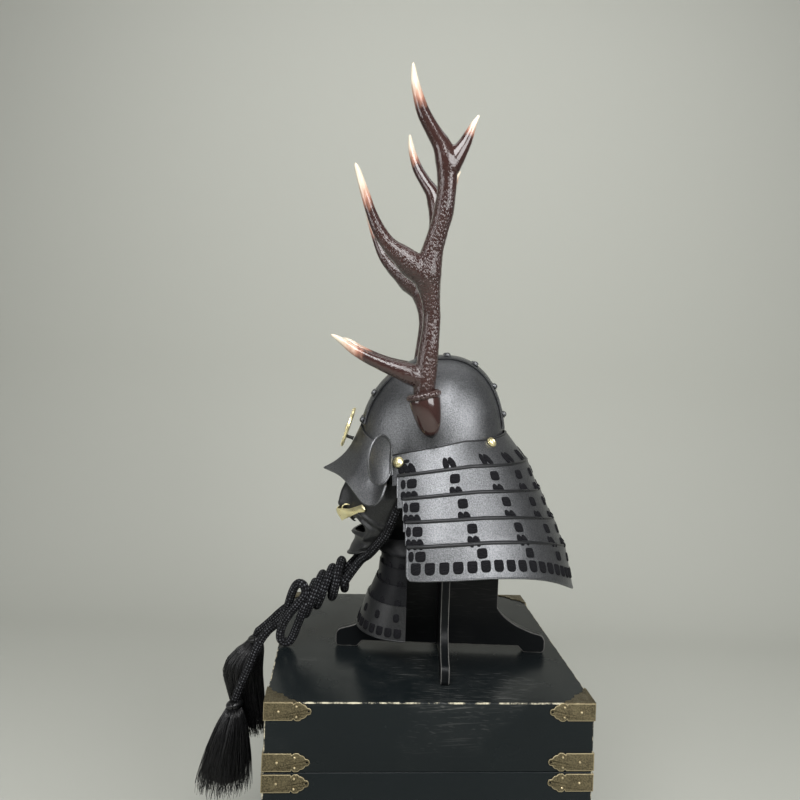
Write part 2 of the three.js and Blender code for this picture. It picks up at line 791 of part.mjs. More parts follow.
// The antler: a smooth foot below the burr, the beaded burr, the beam and three tines.
function antler(side) {
  const footProfile = [[0, 0], [0.28, 0.03], [0.62, 0.2], [0.85, 0.5], [0.97, 0.85], [0.85, 1.03], [0, 1.03]];
  const foot = new THREE.LatheGeometry(
    footProfile.map(([r, h]) => new THREE.Vector2(r * footRadius, h * footLength)),
    10,
  ).rotateX(Math.PI / 2);
  const burr = new THREE.TorusGeometry(burrRadius, burrBead, 4, 14).translate(0, 0, footLength);
  const lean = radians(footLeanDeg);
  foot.rotateX(lean);
  burr.rotateX(lean);
  const top = new THREE.Vector3(0, -footLength * Math.sin(lean), footLength * Math.cos(lean));
  const limbs = [
    antlerLimb(antlerLimbs.beam, 8, 20),
    antlerLimb(antlerLimbs.brow_tine, 6, 7),
    antlerLimb(antlerLimbs.front_tine, 6, 8),
    antlerLimb(antlerLimbs.rear_tine, 6, 5),
  ].map((geometry) => geometry.translate(top.x, top.y, top.z));
  const base = footPlace(side);
  const whole = joined(foot, burr, ...limbs);
  const placed = bent(whole, (x, y, z) => new THREE.Vector3(side * x + base.x, y + base.y, z + base.z));
  return cut(placed, pinAt(side, seatGap));
}

function helmet() {
  const group = new THREE.Group();
  group.add(piece('bowl', bowl(), 'blackIron'));
  group.add(piece('crown_band', crownBand(), 'blackIron'));
  group.add(piece('visor', visor(), 'blackIron'));
  for (let i = 0; i < guardLines.length - 1; i++) {
    group.add(piece(`neck_lame_${i + 1}`, lame(i), 'blackIron'));
  }
  for (const side of [1, -1]) {
    const name = side > 0 ? 'left' : 'right';
    group.add(piece(`flap_${name}`, flap(side), 'blackIron'));
    for (const row of goldRivets) group.add(goldRivet(row, side));
    group.add(piece(`antler_${name}`, antler(side), 'antlerBrown'));
    group.add(piece(`antler_pin_${name}`, closed(pinAt(side, 0)), 'blackIron'));
  }
  const crest = piece('crest_plate', crestPlate(), 'gold');
  const seat = crestSeat();
  const tilt = radians(crestTiltDeg);
  const away = crestPegLength + crestThickness / 2 + seatGap;
  crest.position.set(
    0,
    seat.y - away * Math.cos(tilt) + crestAbovePeg * Math.sin(tilt),
    seat.z + away * Math.sin(tilt) + crestAbovePeg * Math.cos(tilt),
  );
  crest.rotation.x = Math.PI / 2 - tilt;
  group.add(crest);
  group.add(piece('crest_peg', crestPeg(), 'blackIron'));
  group.position.copy(helmetCentre);
  return group;
}

// One board of the cross stand: a foot with rounded toes, a post, shoulders and a top that
// follows the inside of the bowl. Its outline lies in a plane that goes up.
function board(footHalf, slotFrom, slotTo, turn) {
  const t = boardThickness;
  const postHalf = postHalfWidth;
  const half = [
    [0, footArch],
    [footHalf - footLanding - footArch, footArch],
    [footHalf - footLanding, 0],
    [footHalf - 7, 0],
    [footHalf, 7],
    [footHalf, toeHeight - 10],
    [footHalf - 4, toeHeight - 3],
    [footHalf - 12, toeHeight],
    [lerp(postHalf, footHalf - 12, 0.45), lerp(footHeight, toeHeight, 0.7)],
    [postHalf, footHeight],
    [postHalf, shoulderHeight],
    [postHalf - shoulderStep, shoulderHeight],
    [postHalf - shoulderStep, shoulderHeight + 2],
  ];
  const right = half.map(([x, z]) => new THREE.Vector2(x, z));
  const left = half.slice(1).reverse().map(([x, z]) => new THREE.Vector2(-x, z));
  const flat = { depth: t, bevelEnabled: false, curveSegments: 2 };
  const lower = new THREE.ExtrudeGeometry(new THREE.Shape([...right, ...left]), flat)
    .rotateX(Math.PI / 2).translate(0, t / 2, 0).rotateZ(turn);
  const reach = postHalf - shoulderStep;
  const upper = block(-reach, reach, -t / 2, t / 2, shoulderHeight + 1,
    shoulderHeight + boardTopRise).rotateZ(turn);
  const inside = domeSolid(-bowlWall - 2 * seatGap, domeSides, domeRings)
    .translate(0, bowlAhead, rimHeight - seatGap);
  const top = geometryOf(solidOf(upper).intersect(solidOf(inside)));
  const slotHalf = t / 2 + seatGap;
  return cut(joined(lower, top), block(-slotHalf, slotHalf, -slotHalf, slotHalf, slotFrom, slotTo));
}

function stand() {
  const group = new THREE.Group();
  const above = shoulderHeight + boardTopRise;
  group.add(piece('stand_board_side', board(sideFootHalf, lapHeight, above, Math.PI / 2), 'blackBoard'));
  group.add(piece('stand_board_cross', board(crossFootHalf, -1, lapHeight + seatGap, 0), 'blackBoard'));
  group.position.set(0, 0, boxHeight + seatGap);
  return group;
}

// Front centre line of the mask without its nose, then its rear edge, from the top down.
// Ahead and side are shares of the mask's front and half width, back is a share of its depth,
// drop is a share of its height, and nose is a share of the nose's length.
const maskRows = [
  { at: 0, ahead: 1.02, drop: 0.026, nose: 0.15, side: 0.946, back: 0.96, rearDrop: -0.034 },
  { at: 0.1, ahead: 1.007, drop: 0.108, nose: 0.5, side: 0.975, back: 0.96, rearDrop: 0.03 },
  { at: 0.2, ahead: 0.993, drop: 0.19, nose: 0.85, side: 0.99, back: 0.96, rearDrop: 0.09 },
  { at: 0.3, ahead: 0.992, drop: 0.285, nose: 1, side: 1, back: 0.96, rearDrop: 0.155 },
  { at: 0.42, ahead: 0.993, drop: 0.379, nose: 1, side: 0.94, back: 0.89, rearDrop: 0.3 },
  { at: 0.5, ahead: 1, drop: 0.448, nose: 0.1, side: 0.88, back: 0.83, rearDrop: 0.396 },
  { at: 0.62, ahead: 0.993, drop: 0.586, nose: 0, side: 0.79, back: 0.75, rearDrop: 0.54 },
  { at: 0.75, ahead: 0.939, drop: 0.724, nose: 0, side: 0.69, back: 0.64, rearDrop: 0.67 },
  { at: 0.82, ahead: 0.942, drop: 0.793, nose: 0, side: 0.63, back: 0.585, rearDrop: 0.745 },
  { at: 0.9, ahead: 0.964, drop: 0.888, nose: 0, side: 0.54, back: 0.5, rearDrop: 0.815 },
  { at: 1, ahead: 0.995, drop: 1, nose: 0, side: 0.432, back: 0.42, rearDrop: 0.9 },
];
const maskStep = 1 / (maskRows.length - 1);

function maskRowAt(v) {
  const i = Math.min(Math.max(maskRows.findIndex((row) => row.at >= v - 1e-6), 1), maskRows.length - 1);
  const a = maskRows[i - 1];
  const b = maskRows[i];
  const t = (v - a.at) / (b.at - a.at);
  return {
    ahead: lerp(a.ahead, b.ahead, t) * maskFront,
    height: maskTop - lerp(a.drop, b.drop, t) * maskHeight,
    nose: lerp(a.nose, b.nose, t) * noseLength,
    side: lerp(a.side, b.side, t) * maskHalfWidth,
    rear: -maskFront + lerp(a.back, b.back, t) * maskDepth,
    rearHeight: maskTop - lerp(a.rearDrop, b.rearDrop, t) * maskHeight,
  };
}

// Turn goes from 0 at the mask's centre to 90 degrees at its rear edge, and grow is outwards.
function maskPoint(turn, v, grow) {
  const row = maskRowAt(v);
  const blend = (1 - Math.cos(turn)) ** 0.75;
  const across = row.side * Math.sin(turn);
  const nose = row.nose * Math.exp(-((across / 10) ** 2));
  const lean = Math.atan2(row.side * Math.sin(turn), row.ahead * Math.max(Math.cos(turn), 0) * 0.6 + 1);
  return new THREE.Vector3(
    across + grow * Math.sin(lean),
    lerp(-row.ahead, row.rear, blend) - nose - grow * Math.cos(lean),
    lerp(row.height, row.rearHeight, blend),
  );
}

function mask() {
  const shell = sheet(18, maskRows.length - 1, (u, v, w) => {
    const side = u * 2 - 1;
    const v0 = maskRows[Math.round(v / maskStep)].at;
    const turn = Math.abs(side) ** 1.5 * (Math.PI / 2);
    const place = maskPoint(turn, v0, (w - 1) * maskWall);
    place.x *= Math.sign(side) || 1;
    return place;
  });
  const mouth = new THREE.CylinderGeometry(1, 1, maskFront, 14)
    .scale(mouthHalfWidth, 1, mouthHalfHeight)
    .translate(0, -maskFront, maskTop - mouthDrop);
  return cut(shell, mouth);
}

// The gold lip plate stands out below the nose. Top and bottom are places down the mask.
const lipRows = [
  { turnDeg: 0, top: 0.47, bottom: 0.62, topOut: 19, bottomOut: 11.5 },
  { turnDeg: 19, top: 0.43, bottom: 0.535, topOut: 7, bottomOut: 4 },
  { turnDeg: 31, top: 0.37, bottom: 0.49, topOut: 2.6, bottomOut: 2.6 },
  { turnDeg: 38, top: 0.34, bottom: 0.455, topOut: 2.1, bottomOut: 2.1 },
  { turnDeg: 46, top: 0.4, bottom: 0.44, topOut: 2.1, bottomOut: 2.1 },
];

function lipPlate() {
  const steps = 2 * (lipRows.length - 1);
  return sheet(steps, 2, (u, v, w) => {
    const step = Math.round(u * steps) - (lipRows.length - 1);
    const row = lipRows[Math.abs(step)];
    const down = lerp(row.top, row.bottom, v);
    const belly = 1.2 * Math.sin(v * Math.PI);
    const out = lerp(row.topOut, row.bottomOut, v) + belly + (w - 1) * lipPlateWall;
    const centre = maskPoint(0, down, 0);
    const place = maskPoint(radians(row.turnDeg), down, out);
    if (step === 0) place.set(0, centre.y + maskRowAt(down).nose - out, centre.z);
    place.x *= Math.sign(step) || 1;
    return place;
  });
}

// Throat guard from the mask down, as shares of its named sizes. Top and bottom are heights over
// the last lame's lower edge, and ahead counts forwards from the guard's rear ends.
const throatLames = [
  { name: 'neck_piece', top: 0.98, topSide: 0.54, topAhead: 1.09, bottom: 0.83, side: 0.725, ahead: 0.59 },
  { name: 'throat_lame_1', top: 0.85, topSide: 0.668, topAhead: 0.54, bottom: 0.65, side: 0.744, ahead: 0.522 },
  { name: 'throat_lame_2', top: 0.7, topSide: 0.776, topAhead: 0.56, bottom: 0.48, side: 0.81, ahead: 0.594 },
  { name: 'throat_lame_3', top: 0.53, topSide: 0.832, topAhead: 0.622, bottom: 0.293, side: 0.897, ahead: 0.797 },
  { name: 'throat_lame_4', top: 0.343, topSide: 0.915, topAhead: 0.797, bottom: 0, side: 1, ahead: 1 },
];

function throatLame(row) {
  const foot = maskTop - maskHeight - throatFootDrop;
  return sheet(12, 1, (u, v, w) => {
    const turn = (u - 0.5) * Math.PI;
    const wall = (w - 1) * throatWall;
    const side = lerp(row.topSide, row.side, v) * throatHalfWidth + wall;
    const ahead = lerp(row.topAhead, row.ahead, v) * throatReach + wall;
    return new THREE.Vector3(
      side * Math.sin(turn),
      throatRear - ahead * Math.cos(turn),
      foot + lerp(row.top, row.bottom, v) * throatHeight,
    );
  });
}

// The chin cord goes from the rear shoulder over the side shoulder, past the cheek to the knot.
const chinCordPath = [
  { out: 0.8, ahead: -85, up: 290.5 },
  { out: 10, ahead: -85, up: 290.5 },
  { out: 28, ahead: -81, up: 291.5 },
  { out: 52, ahead: -68, up: 292 },
  { out: 74, ahead: -40, up: 292 },
  { out: 85, ahead: -12, up: 291.2 },
  { out: 86, ahead: 8, up: 291.2 },
  { out: 87, ahead: 30, up: 286 },
  { out: 86, ahead: 55, up: 261 },
  { out: 83, ahead: 71, up: 231 },
  { out: 74, ahead: 80, up: 207 },
  { out: 65.5, ahead: 88, up: 187 },
  { out: 52.5, ahead: 101, up: 167 },
  { out: 38.5, ahead: 113, up: 150 },
  { out: 24, ahead: 127, up: 135 },
  { out: 10, ahead: 140, up: 121.8 },
];
const longTailPath = [
  { out: 0, ahead: 233, up: 39.4 },
  { out: 0, ahead: 250, up: 29 },
  { out: 0, ahead: 268, up: 12 },
  { out: 0, ahead: 282, up: -9 },
  { out: 0, ahead: 292, up: -40 },
  { out: 0, ahead: 303, up: -68 },
  { out: 0, ahead: 311, up: -90 },
];
const shortTailPath = [
  { out: -26, ahead: 238.5, up: 45.8 },
  { out: -29, ahead: 251, up: 36 },
  { out: -35, ahead: 266, up: 20 },
  { out: -41, ahead: 283, up: 4 },
  { out: -44, ahead: 288, up: -2 },
];

function cordAlong(rows, side, steps) {
  return cordTube(rows.map((row) => [side * row.out, -row.ahead, row.up]), steps);
}

// The knot is one solid: the wrapped cord as a thick barrel, and a loop that rests on the box.
const knotAxis = [
  { ahead: 143, up: 118, radius: knotStartRadius },
  { ahead: 172, up: 92, radius: lerp(knotStartRadius, knotEndRadius, 0.35) },
  { ahead: 203, up: 64, radius: lerp(knotStartRadius, knotEndRadius, 0.7) },
  { ahead: 232, up: 40, radius: knotEndRadius },
];

function knot() {
  const points = knotAxis.map((row) => new THREE.Vector3(0, -row.ahead, row.up));
  const curve = new THREE.CatmullRomCurve3(points, false, 'centripetal');
  const barrel = limb(curve, (t) => lerp(knotStartRadius, knotEndRadius, t), 12, 5);
  const last = knotAxis[knotAxis.length - 1];
  const loop = new THREE.SphereGeometry(1, 10, 8)
    .rotateX(Math.PI / 2)
    .scale(loopRadius, loopRadius * 1.3, loopHeight / 2)
    .translate(loopRadius * 1.7, -last.ahead + 4, loopHeight / 2 + 2 * seatGap);
  return joined(barrel, loop);
}

// A tassel hangs from its collar in ten locks. Down is a share of its length, wide of its radius.
const tasselShapes = {
  long: [
    { down: 0, wide: 0.24, ahead: 0 },
    { down: 0.085, wide: 0.25, ahead: 0.02 },
    { down: 0.12, wide: 0.4, ahead: 0.03 },
    { down: 0.3, wide: 0.62, ahead: 0.09 },
    { down: 0.6, wide: 0.84, ahead: 0.2 },
    { down: 0.9, wide: 1, ahead: 0.3 },
    { down: 1, wide: 0.94, ahead: 0.32 },
  ],
  short: [
    { down: 0, wide: 0.36, ahead: 0 },
    { down: 0.08, wide: 0.37, ahead: 0.08 },
    { down: 0.12, wide: 0.55, ahead: 0.2 },
    { down: 0.25, wide: 0.92, ahead: 0.55 },
    { down: 0.4, wide: 1, ahead: 0.66 },
    { down: 0.7, wide: 0.8, ahead: 0.3 },
    { down: 1, wide: 0.6, ahead: -0.15 },
  ],
};

function tassel(rows, length, radius, at) {
  const profile = [new THREE.Vector2(0, 0)];
  rows.forEach((row, i) => profile.push(new THREE.Vector2(1, i + 1)));
  profile.push(new THREE.Vector2(0, rows.length + 1));
  const turned = new THREE.LatheGeometry(profile, 20);
  return closed(bent(turned, (x, y, z) => {
    const row = rows[Math.min(Math.max(Math.round(y) - 1, 0), rows.length - 1)];
    const angle = Math.atan2(x, z);
    const collar = row.down < 0.1 ? 0 : 1;
    const lock = 1 + collar * 0.05 * Math.cos(angle * 10);
    const reach = Math.hypot(x, z) > 0.5 ? row.wide * radius * lock : 0;
    return new THREE.Vector3(
      at.out + reach * Math.sin(angle),
      -at.ahead - row.ahead * radius + reach * Math.cos(angle),
      at.up - row.down * length,
    );
  }));
}

function faceAndCords() {
  const group = new THREE.Group();
  group.add(piece('mask', mask(), 'blackIron'));
  group.add(piece('lip_plate', lipPlate(), 'gold'));
  for (const row of throatLames) group.add(piece(row.name, throatLame(row), 'blackIron'));
  group.add(piece('chin_cord_left', cordAlong(chinCordPath, 1, 22), 'cordBlack'));
  group.add(piece('chin_cord_right', cordAlong(chinCordPath, -1, 22), 'cordBlack'));
  group.add(piece('cord_knot', knot(), 'cordBlack'));
  group.add(piece('cord_tail_long', cordAlong(longTailPath, 1, 8), 'cordBlack'));
  group.add(piece('cord_tail_short', cordAlong(shortTailPath, 1, 5), 'cordBlack'));
  const longAt = { out: 0, ahead: 311.6, up: -92.7 };
  const shortAt = { out: -44, ahead: 288.4, up: -6.8 };
  group.add(piece('tassel_long', tassel(tasselShapes.long, tasselLength, tasselRadius, longAt), 'silkBlack'));
  const short = tassel(tasselShapes.short, shortTasselLength, shortTasselRadius, shortAt);
  group.add(piece('tassel_short', short, 'silkBlack'));
  group.position.set(0, 0, boxHeight);
  return group;
}

const root = new THREE.Group();
root.add(armourBox());
root.add(stand());
root.add(helmet());
root.add(faceAndCords());
export default root;
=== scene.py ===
import math
import random

import bmesh
import bpy
from mathutils import Matrix, Vector, noise


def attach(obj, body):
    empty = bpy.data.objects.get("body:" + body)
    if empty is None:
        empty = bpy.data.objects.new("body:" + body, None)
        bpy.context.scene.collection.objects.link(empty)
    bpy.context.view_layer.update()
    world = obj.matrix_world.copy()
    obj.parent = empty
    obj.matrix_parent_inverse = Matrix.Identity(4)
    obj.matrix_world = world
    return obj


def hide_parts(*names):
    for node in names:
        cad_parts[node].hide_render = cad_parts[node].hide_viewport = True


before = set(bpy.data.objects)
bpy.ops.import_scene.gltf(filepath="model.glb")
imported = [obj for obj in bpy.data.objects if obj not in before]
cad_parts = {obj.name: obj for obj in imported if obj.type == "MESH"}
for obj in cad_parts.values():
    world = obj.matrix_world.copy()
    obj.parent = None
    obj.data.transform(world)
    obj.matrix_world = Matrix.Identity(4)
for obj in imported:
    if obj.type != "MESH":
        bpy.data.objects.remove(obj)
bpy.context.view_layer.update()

# The camera stands level with the bowl on the wearer's left and looks across the helmet.
camera_data = bpy.data.cameras.new("studio_camera")
camera_data.sensor_width = 36
camera_data.lens = 33.53
camera_data.shift_y = -0.0598
camera_data.clip_end = 20
camera = bpy.data.objects.new("studio_camera", camera_data)
bpy.context.collection.objects.link(camera)
bpy.context.scene.camera = camera
camera_roll = 0.0366
camera_place = Vector((1.1464, -0.0775, 0.8524))
camera_right = Vector((0, math.cos(camera_roll), math.sin(camera_roll)))
camera_up = Vector((0, -math.sin(camera_roll), math.cos(camera_roll)))
camera_axes = Matrix((camera_right, camera_up, Vector((1, 0, 0)))).transposed()
camera.matrix_world = Matrix.Translation(camera_place) @ camera_axes.to_4x4()

# The floor is pale paper that curves up into a wall on the helmet's right.
bpy.ops.object.select_all(action="DESELECT")
wall_height = 3
bpy.ops.mesh.primitive_plane_add(size=5, location=(0.6, 0, 0))
floor = bpy.context.object
floor.name = "studio_floor"
floor_mesh = bmesh.new()
floor_mesh.from_mesh(floor.data)
wall_edge = [e for e in floor_mesh.edges if all(v.co.x < 0 for v in e.verts)]
raised = bmesh.ops.extrude_edge_only(floor_mesh, edges=wall_edge)["geom"]
for corner in [g for g in raised if isinstance(g, bmesh.types.BMVert)]:
    corner.co.z += wall_height
floor_mesh.to_mesh(floor.data)
floor_mesh.free()
floor.data.transform(floor.matrix_world)
floor.matrix_world = Matrix.Identity(4)
floor_bend = floor.modifiers.new("bend", "BEVEL")
floor_bend.width = 0.8
floor_bend.segments = 24
floor_bend.angle_limit = math.radians(40)
bpy.context.view_layer.objects.active = floor
bpy.ops.object.modifier_apply(modifier="bend")
bpy.ops.object.shade_smooth()
paper = bpy.data.materials.new("studio_paper")
paper.use_nodes = True
paper_shader = paper.node_tree.nodes["Principled BSDF"]
paper_shader.inputs["Base Color"].default_value = (0.47, 0.477, 0.432, 1)
paper_shader.inputs["Roughness"].default_value = 0.9
floor.data.materials.append(paper)


def softbox(name, place, target, width, height, power):
    light_data = bpy.data.lights.new(name, "AREA")
    light_data.shape = "RECTANGLE"
    light_data.size = width
    light_data.size_y = height
    light_data.energy = power
    light = bpy.data.objects.new(name, light_data)
    bpy.context.collection.objects.link(light)
    light.location = place
    aim = Vector(target) - Vector(place)
    light.rotation_euler = aim.to_track_quat("-Z", "Y").to_euler()


# Soft studio light: a key box high over the camera, a large box beside it towards the rear, a
# weak one in front, and a wash on the paper behind.
softbox("key_softbox", (1.6, -0.3, 2.2), (0, 0, 0.6), 1.5, 1.2, 52)
softbox("camera_softbox", (1.9, 1.6, 1.45), (0, 0, 0.6), 1.8, 1.4, 54)
softbox("front_softbox", (1.0, -1.9, 1.1), (0, 0, 0.7), 1.0, 1.2, 13)
softbox("backdrop_wash", (-0.5, 0.0, 2.6), (-1.6, 0, 0.7), 2.6, 0.8, 13)
studio_world = bpy.data.worlds.new("studio_air")
bpy.context.scene.world = studio_world
studio_world.use_nodes = True
studio_world.node_tree.nodes["Background"].inputs["Color"].default_value = (0.8, 0.81, 0.8, 1)
studio_world.node_tree.nodes["Background"].inputs["Strength"].default_value = 0.17
bpy.context.scene.view_settings.view_transform = "Standard"

# Chin cord: a round silk cord, braided in black and grey. Each half comes from the rear of the
# stand, runs over its shoulder and down past the cheek. The left half is wrapped five times
# round the right one, makes an eye that rests on the box, and both end in tassels.
cord_radius = 0.0065
cheek_route = [
    (0.8, 85, 690.5),
    (10, 85, 690.5),
    (28, 81, 691.5),
    (52, 68, 692),
    (74, 40, 692),
    (85, 12, 691.2),
    (86, -8, 691.2),
    (87, -30, 686),
    (86, -55, 661),
    (83, -71, 631),
    (74, -80, 607),
    (65.5, -88, 587),
    (52.5, -101, 567),
    (38.5, -113, 550),
    (24, -126, 536),
]
wrap_centres = [(-147, 513.5), (-161, 501), (-180.5, 488), (-196.5, 476.5), (-208, 462)]
wrap_radii = [23.5, 24, 26, 28, 28]
wrap_leans = [-4, 4, 15, 16, 20]
eye_route = [
    (26.5, -213, 447),
    (21.5, -218, 433),
    (18.5, -222.5, 420),
    (17.5, -228, 410),
    (17, -235, 406.8),
    (18, -241.5, 411),
    (20, -243, 420),
    (22, -239, 436),
    (25.5, -228, 455),
    (28.5, -215, 472),
    (28.5, -206.5, 485),
    (24.5, -209.5, 496),
    (19, -219, 497),
    (14, -227, 484),
    (9, -233, 464),
    (5, -238, 445),
]
long_tail_route = [
    (2, -247, 433),
    (1, -266, 415.5),
    (0, -280, 393),
    (0, -289, 368),
    (0, -300, 340),
    (0, -308, 319),
    (0, -311.3, 309),
]
short_route = [
    (-14, -136, 527),
    (-5, -158, 505),
    (-4, -180, 486),
    (-8, -205, 466),
    (-20, -228, 450),
    (-27, -240, 445),
    (-30, -251, 436),
    (-35, -266, 420),
    (-41, -283, 403),
    (-44, -288, 397),
    (-44, -294, 374),
]


def wrap_point(turns):
    low = min(int(turns), len(wrap_centres) - 2)
    share = turns - low
    centre = [a + (b - a) * share for a, b in zip(wrap_centres[low], wrap_centres[low + 1])]
    radius = wrap_radii[low] + (wrap_radii[low + 1] - wrap_radii[low]) * share
    lean = math.radians(wrap_leans[low] + (wrap_leans[low + 1] - wrap_leans[low]) * share)
    angle = -turns * 2 * math.pi
    up = radius * math.sin(angle)
    return (radius * math.cos(angle), centre[0] + up * math.sin(lean), centre[1] + up * math.cos(lean))


def smooth_route(points, step):
    knots = [Vector(p) / 1000 for p in points]
    knots = [2 * knots[0] - knots[1]] + knots + [2 * knots[-1] - knots[-2]]
    route = []
    for a, b, c, d in zip(knots, knots[1:], knots[2:], knots[3:]):
        count = max(2, round((c - b).length / step))
        for i in range(count):
            t = i / count
            bow = (c - a) * t + (2 * a - 5 * b + 4 * c - d) * t * t + (3 * b - a - 3 * c + d) * t ** 3
            route.append(b + bow / 2)
    return route + [knots[-2]]


def select_only(*pieces):
    bpy.ops.object.select_all(action="DESELECT")
    for piece in pieces:
        piece.select_set(True)
        bpy.context.view_layer.objects.active = piece


def object_from(name, mesh):
    data = bpy.data.meshes.new(name)
    mesh.to_mesh(data)
    mesh.free()
    piece = bpy.data.objects.new(name, data)
    bpy.context.collection.objects.link(piece)
    return piece


# A round tube along a route, with one radius or with each point's fourth number as its own.
# Its UV goes once round it, and runs along it in metres.
def tube(name, route, sides, radius=None):
    mesh = bmesh.new()
    around = mesh.loops.layers.uv.new("UVMap")
    places = [point.to_3d() for point in route]
    tangent = (places[1] - places[0]).normalized()
    side = tangent.orthogonal().normalized()
    rings = []
    lengths = [0]
    for i, point in enumerate(places):
        ahead = (places[min(i + 1, len(places) - 1)] - places[max(i - 1, 0)]).normalized()
        side = (tangent.rotation_difference(ahead) @ side).normalized()
        tangent = ahead
        if i:
            lengths.append(lengths[-1] + (point - places[i - 1]).length)
        reach = radius or route[i][3]
        across = tangent.cross(side)
        ring = []
        for k in range(sides):
            angle = 2 * math.pi * k / sides
            ring.append(mesh.verts.new(point + reach * (math.cos(angle) * side + math.sin(angle) * across)))
        rings.append(ring)
    for i in range(len(rings) - 1):
        for k in range(sides):
            n = (k + 1) % sides
            face = mesh.faces.new([rings[i][k], rings[i][n], rings[i + 1][n], rings[i + 1][k]])
            face.smooth = True
            places_uv = [(k, i), (k + 1, i), (k + 1, i + 1), (k, i + 1)]
            for loop, (turned_to, ring_at) in zip(face.loops, places_uv):
                loop[around].uv = (turned_to / sides, lengths[ring_at])
    mesh.faces.new(list(reversed(rings[0])))
    mesh.faces.new(rings[-1])
    return object_from(name, mesh), lengths[-1]


def new_material(name, color, roughness, metallic=0.0):
    material = bpy.data.materials.new(name)
    material.use_nodes = True
    shader = material.node_tree.nodes["Principled BSDF"]
    shader.inputs["Base Color"].default_value = (*color, 1)
    shader.inputs["Roughness"].default_value = roughness
    shader.inputs["Metallic"].default_value = metallic
    return material, material.node_tree, shader


def wire(tree, socket, value):
    if isinstance(value, bpy.types.NodeSocket):
        tree.links.new(value, socket)
    else:
        socket.default_value = value


def math_node(tree, operation, first, second=0.0):
    node = tree.nodes.new("ShaderNodeMath")
    node.operation = operation
    wire(tree, node.inputs[0], first)
    wire(tree, node.inputs[1], second)
    return node.outputs[0]


def mix_color(tree, share, first, second):
    node = tree.nodes.new("ShaderNodeMix")
    node.data_type = "RGBA"
    wire(tree, node.inputs[0], share)
    wire(tree, node.inputs[6], first)
    wire(tree, node.inputs[7], second)
    return node.outputs[2]


def noise_of(tree, scale, detail=3.0, stretch=(1, 1, 1), source="Object"):
    place = tree.nodes.new("ShaderNodeTexCoord")
    spread = tree.nodes.new("ShaderNodeMapping")
    spread.inputs["Scale"].default_value = stretch
    tree.links.new(place.outputs[source], spread.inputs["Vector"])
    grain = tree.nodes.new("ShaderNodeTexNoise")
    grain.inputs["Scale"].default_value = scale
    grain.inputs["Detail"].default_value = detail
    tree.links.new(spread.outputs["Vector"], grain.inputs["Vector"])
    return grain.outputs["Fac"]


def spread_value(tree, value, low, high, to_low=0.0, to_high=1.0):
    node = tree.nodes.new("ShaderNodeMapRange")
    wire(tree, node.inputs["Value"], value)
    for name, limit in (("From Min", low), ("From Max", high), ("To Min", to_low), ("To Max", to_high)):
        wire(tree, node.inputs[name], limit)
    return node.outputs["Result"]


def bump(tree, shader, height, distance, strength=1.0):
    node = tree.nodes.new("ShaderNodeBump")
    node.inputs["Strength"].default_value = strength
    node.inputs["Distance"].default_value = distance
    tree.links.new(height, node.inputs["Height"])
    tree.links.new(node.outputs["Normal"], shader.inputs["Normal"])


def dress(piece, material, slot, *nodes):
    piece.data.materials.clear()
    piece.data.materials.append(material)
    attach(piece, "root")
    if nodes:
        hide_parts(*nodes)


# The braid: two families of strands cross in a checker, and every second family is grey. The
# grey fades to black towards each strand's edges, as painted shade in the grooves.
def braid_material(name, strands, crossings, dark, light):
    material, tree, shader = new_material(name, dark[:3], 0.75)
    place = tree.nodes.new("ShaderNodeTexCoord")
    parts = tree.nodes.new("ShaderNodeSeparateXYZ")
    tree.links.new(place.outputs["UV"], parts.inputs[0])
    around = math_node(tree, "MULTIPLY", parts.outputs["X"], strands)
    along = math_node(tree, "MULTIPLY", parts.outputs["Y"], crossings)
    first = math_node(tree, "ADD", around, along)
    second = math_node(tree, "SUBTRACT", around, along)
    cells = math_node(tree, "ADD", math_node(tree, "FLOOR", first), math_node(tree, "FLOOR", second))
    check = math_node(tree, "PINGPONG", cells, 1.0)
    swell = None
    for side in (first, second):
        phase = math_node(tree, "MULTIPLY", side, math.pi)
        wave = math_node(tree, "ABSOLUTE", math_node(tree, "SINE", phase))
        swell = wave if swell is None else math_node(tree, "MULTIPLY", swell, wave)
    height = math_node(tree, "POWER", swell, 0.7)
    flecks = spread_value(tree, noise_of(tree, 260, 3), 0.4, 0.62, 0.1, 1.0)
    grey = math_node(tree, "MULTIPLY", check, flecks)
    # Painted shade: the grey darkens where the strands dip between their crossings.
    grey_with_groove_shade = math_node(tree, "MULTIPLY", grey, math_node(tree, "POWER", swell, 0.8))
    tree.links.new(mix_color(tree, grey_with_groove_shade, dark, light), shader.inputs["Base Color"])
    threads = noise_of(tree, 900, 2)
    full = math_node(tree, "ADD", height, math_node(tree, "MULTIPLY", threads, 0.3))
    bump(tree, shader, full, 0.002, 0.9)
    shader.inputs["Specular IOR Level"].default_value = 0.2
    return material


braid = braid_material("braided_silk", 9, 225, (0.002, 0.002, 0.003, 1), (0.125, 0.13, 0.14, 1))
wrap_steps = 18
wrap_count = len(wrap_centres)
wraps = []
for step in range(1, wrap_steps * (wrap_count - 1) + 1):
    wraps.append(wrap_point(step / wrap_steps))
left_route = smooth_route(cheek_route + wraps + eye_route + long_tail_route, 0.003)
right_points = [(-x, y, z) for x, y, z in cheek_route[:-1]] + short_route
right_route = smooth_route(right_points, 0.003)
left_cord, left_length = tube("chin_cord_and_long_tail", left_route, 20, cord_radius)
right_cord, right_length = tube("chin_cord_and_short_tail", right_route, 20, cord_radius)
dress(left_cord, braid, "cord", "chin_cord_left", "cord_knot", "cord_tail_long")
dress(right_cord, braid, "cord", "chin_cord_right", "cord_tail_short")


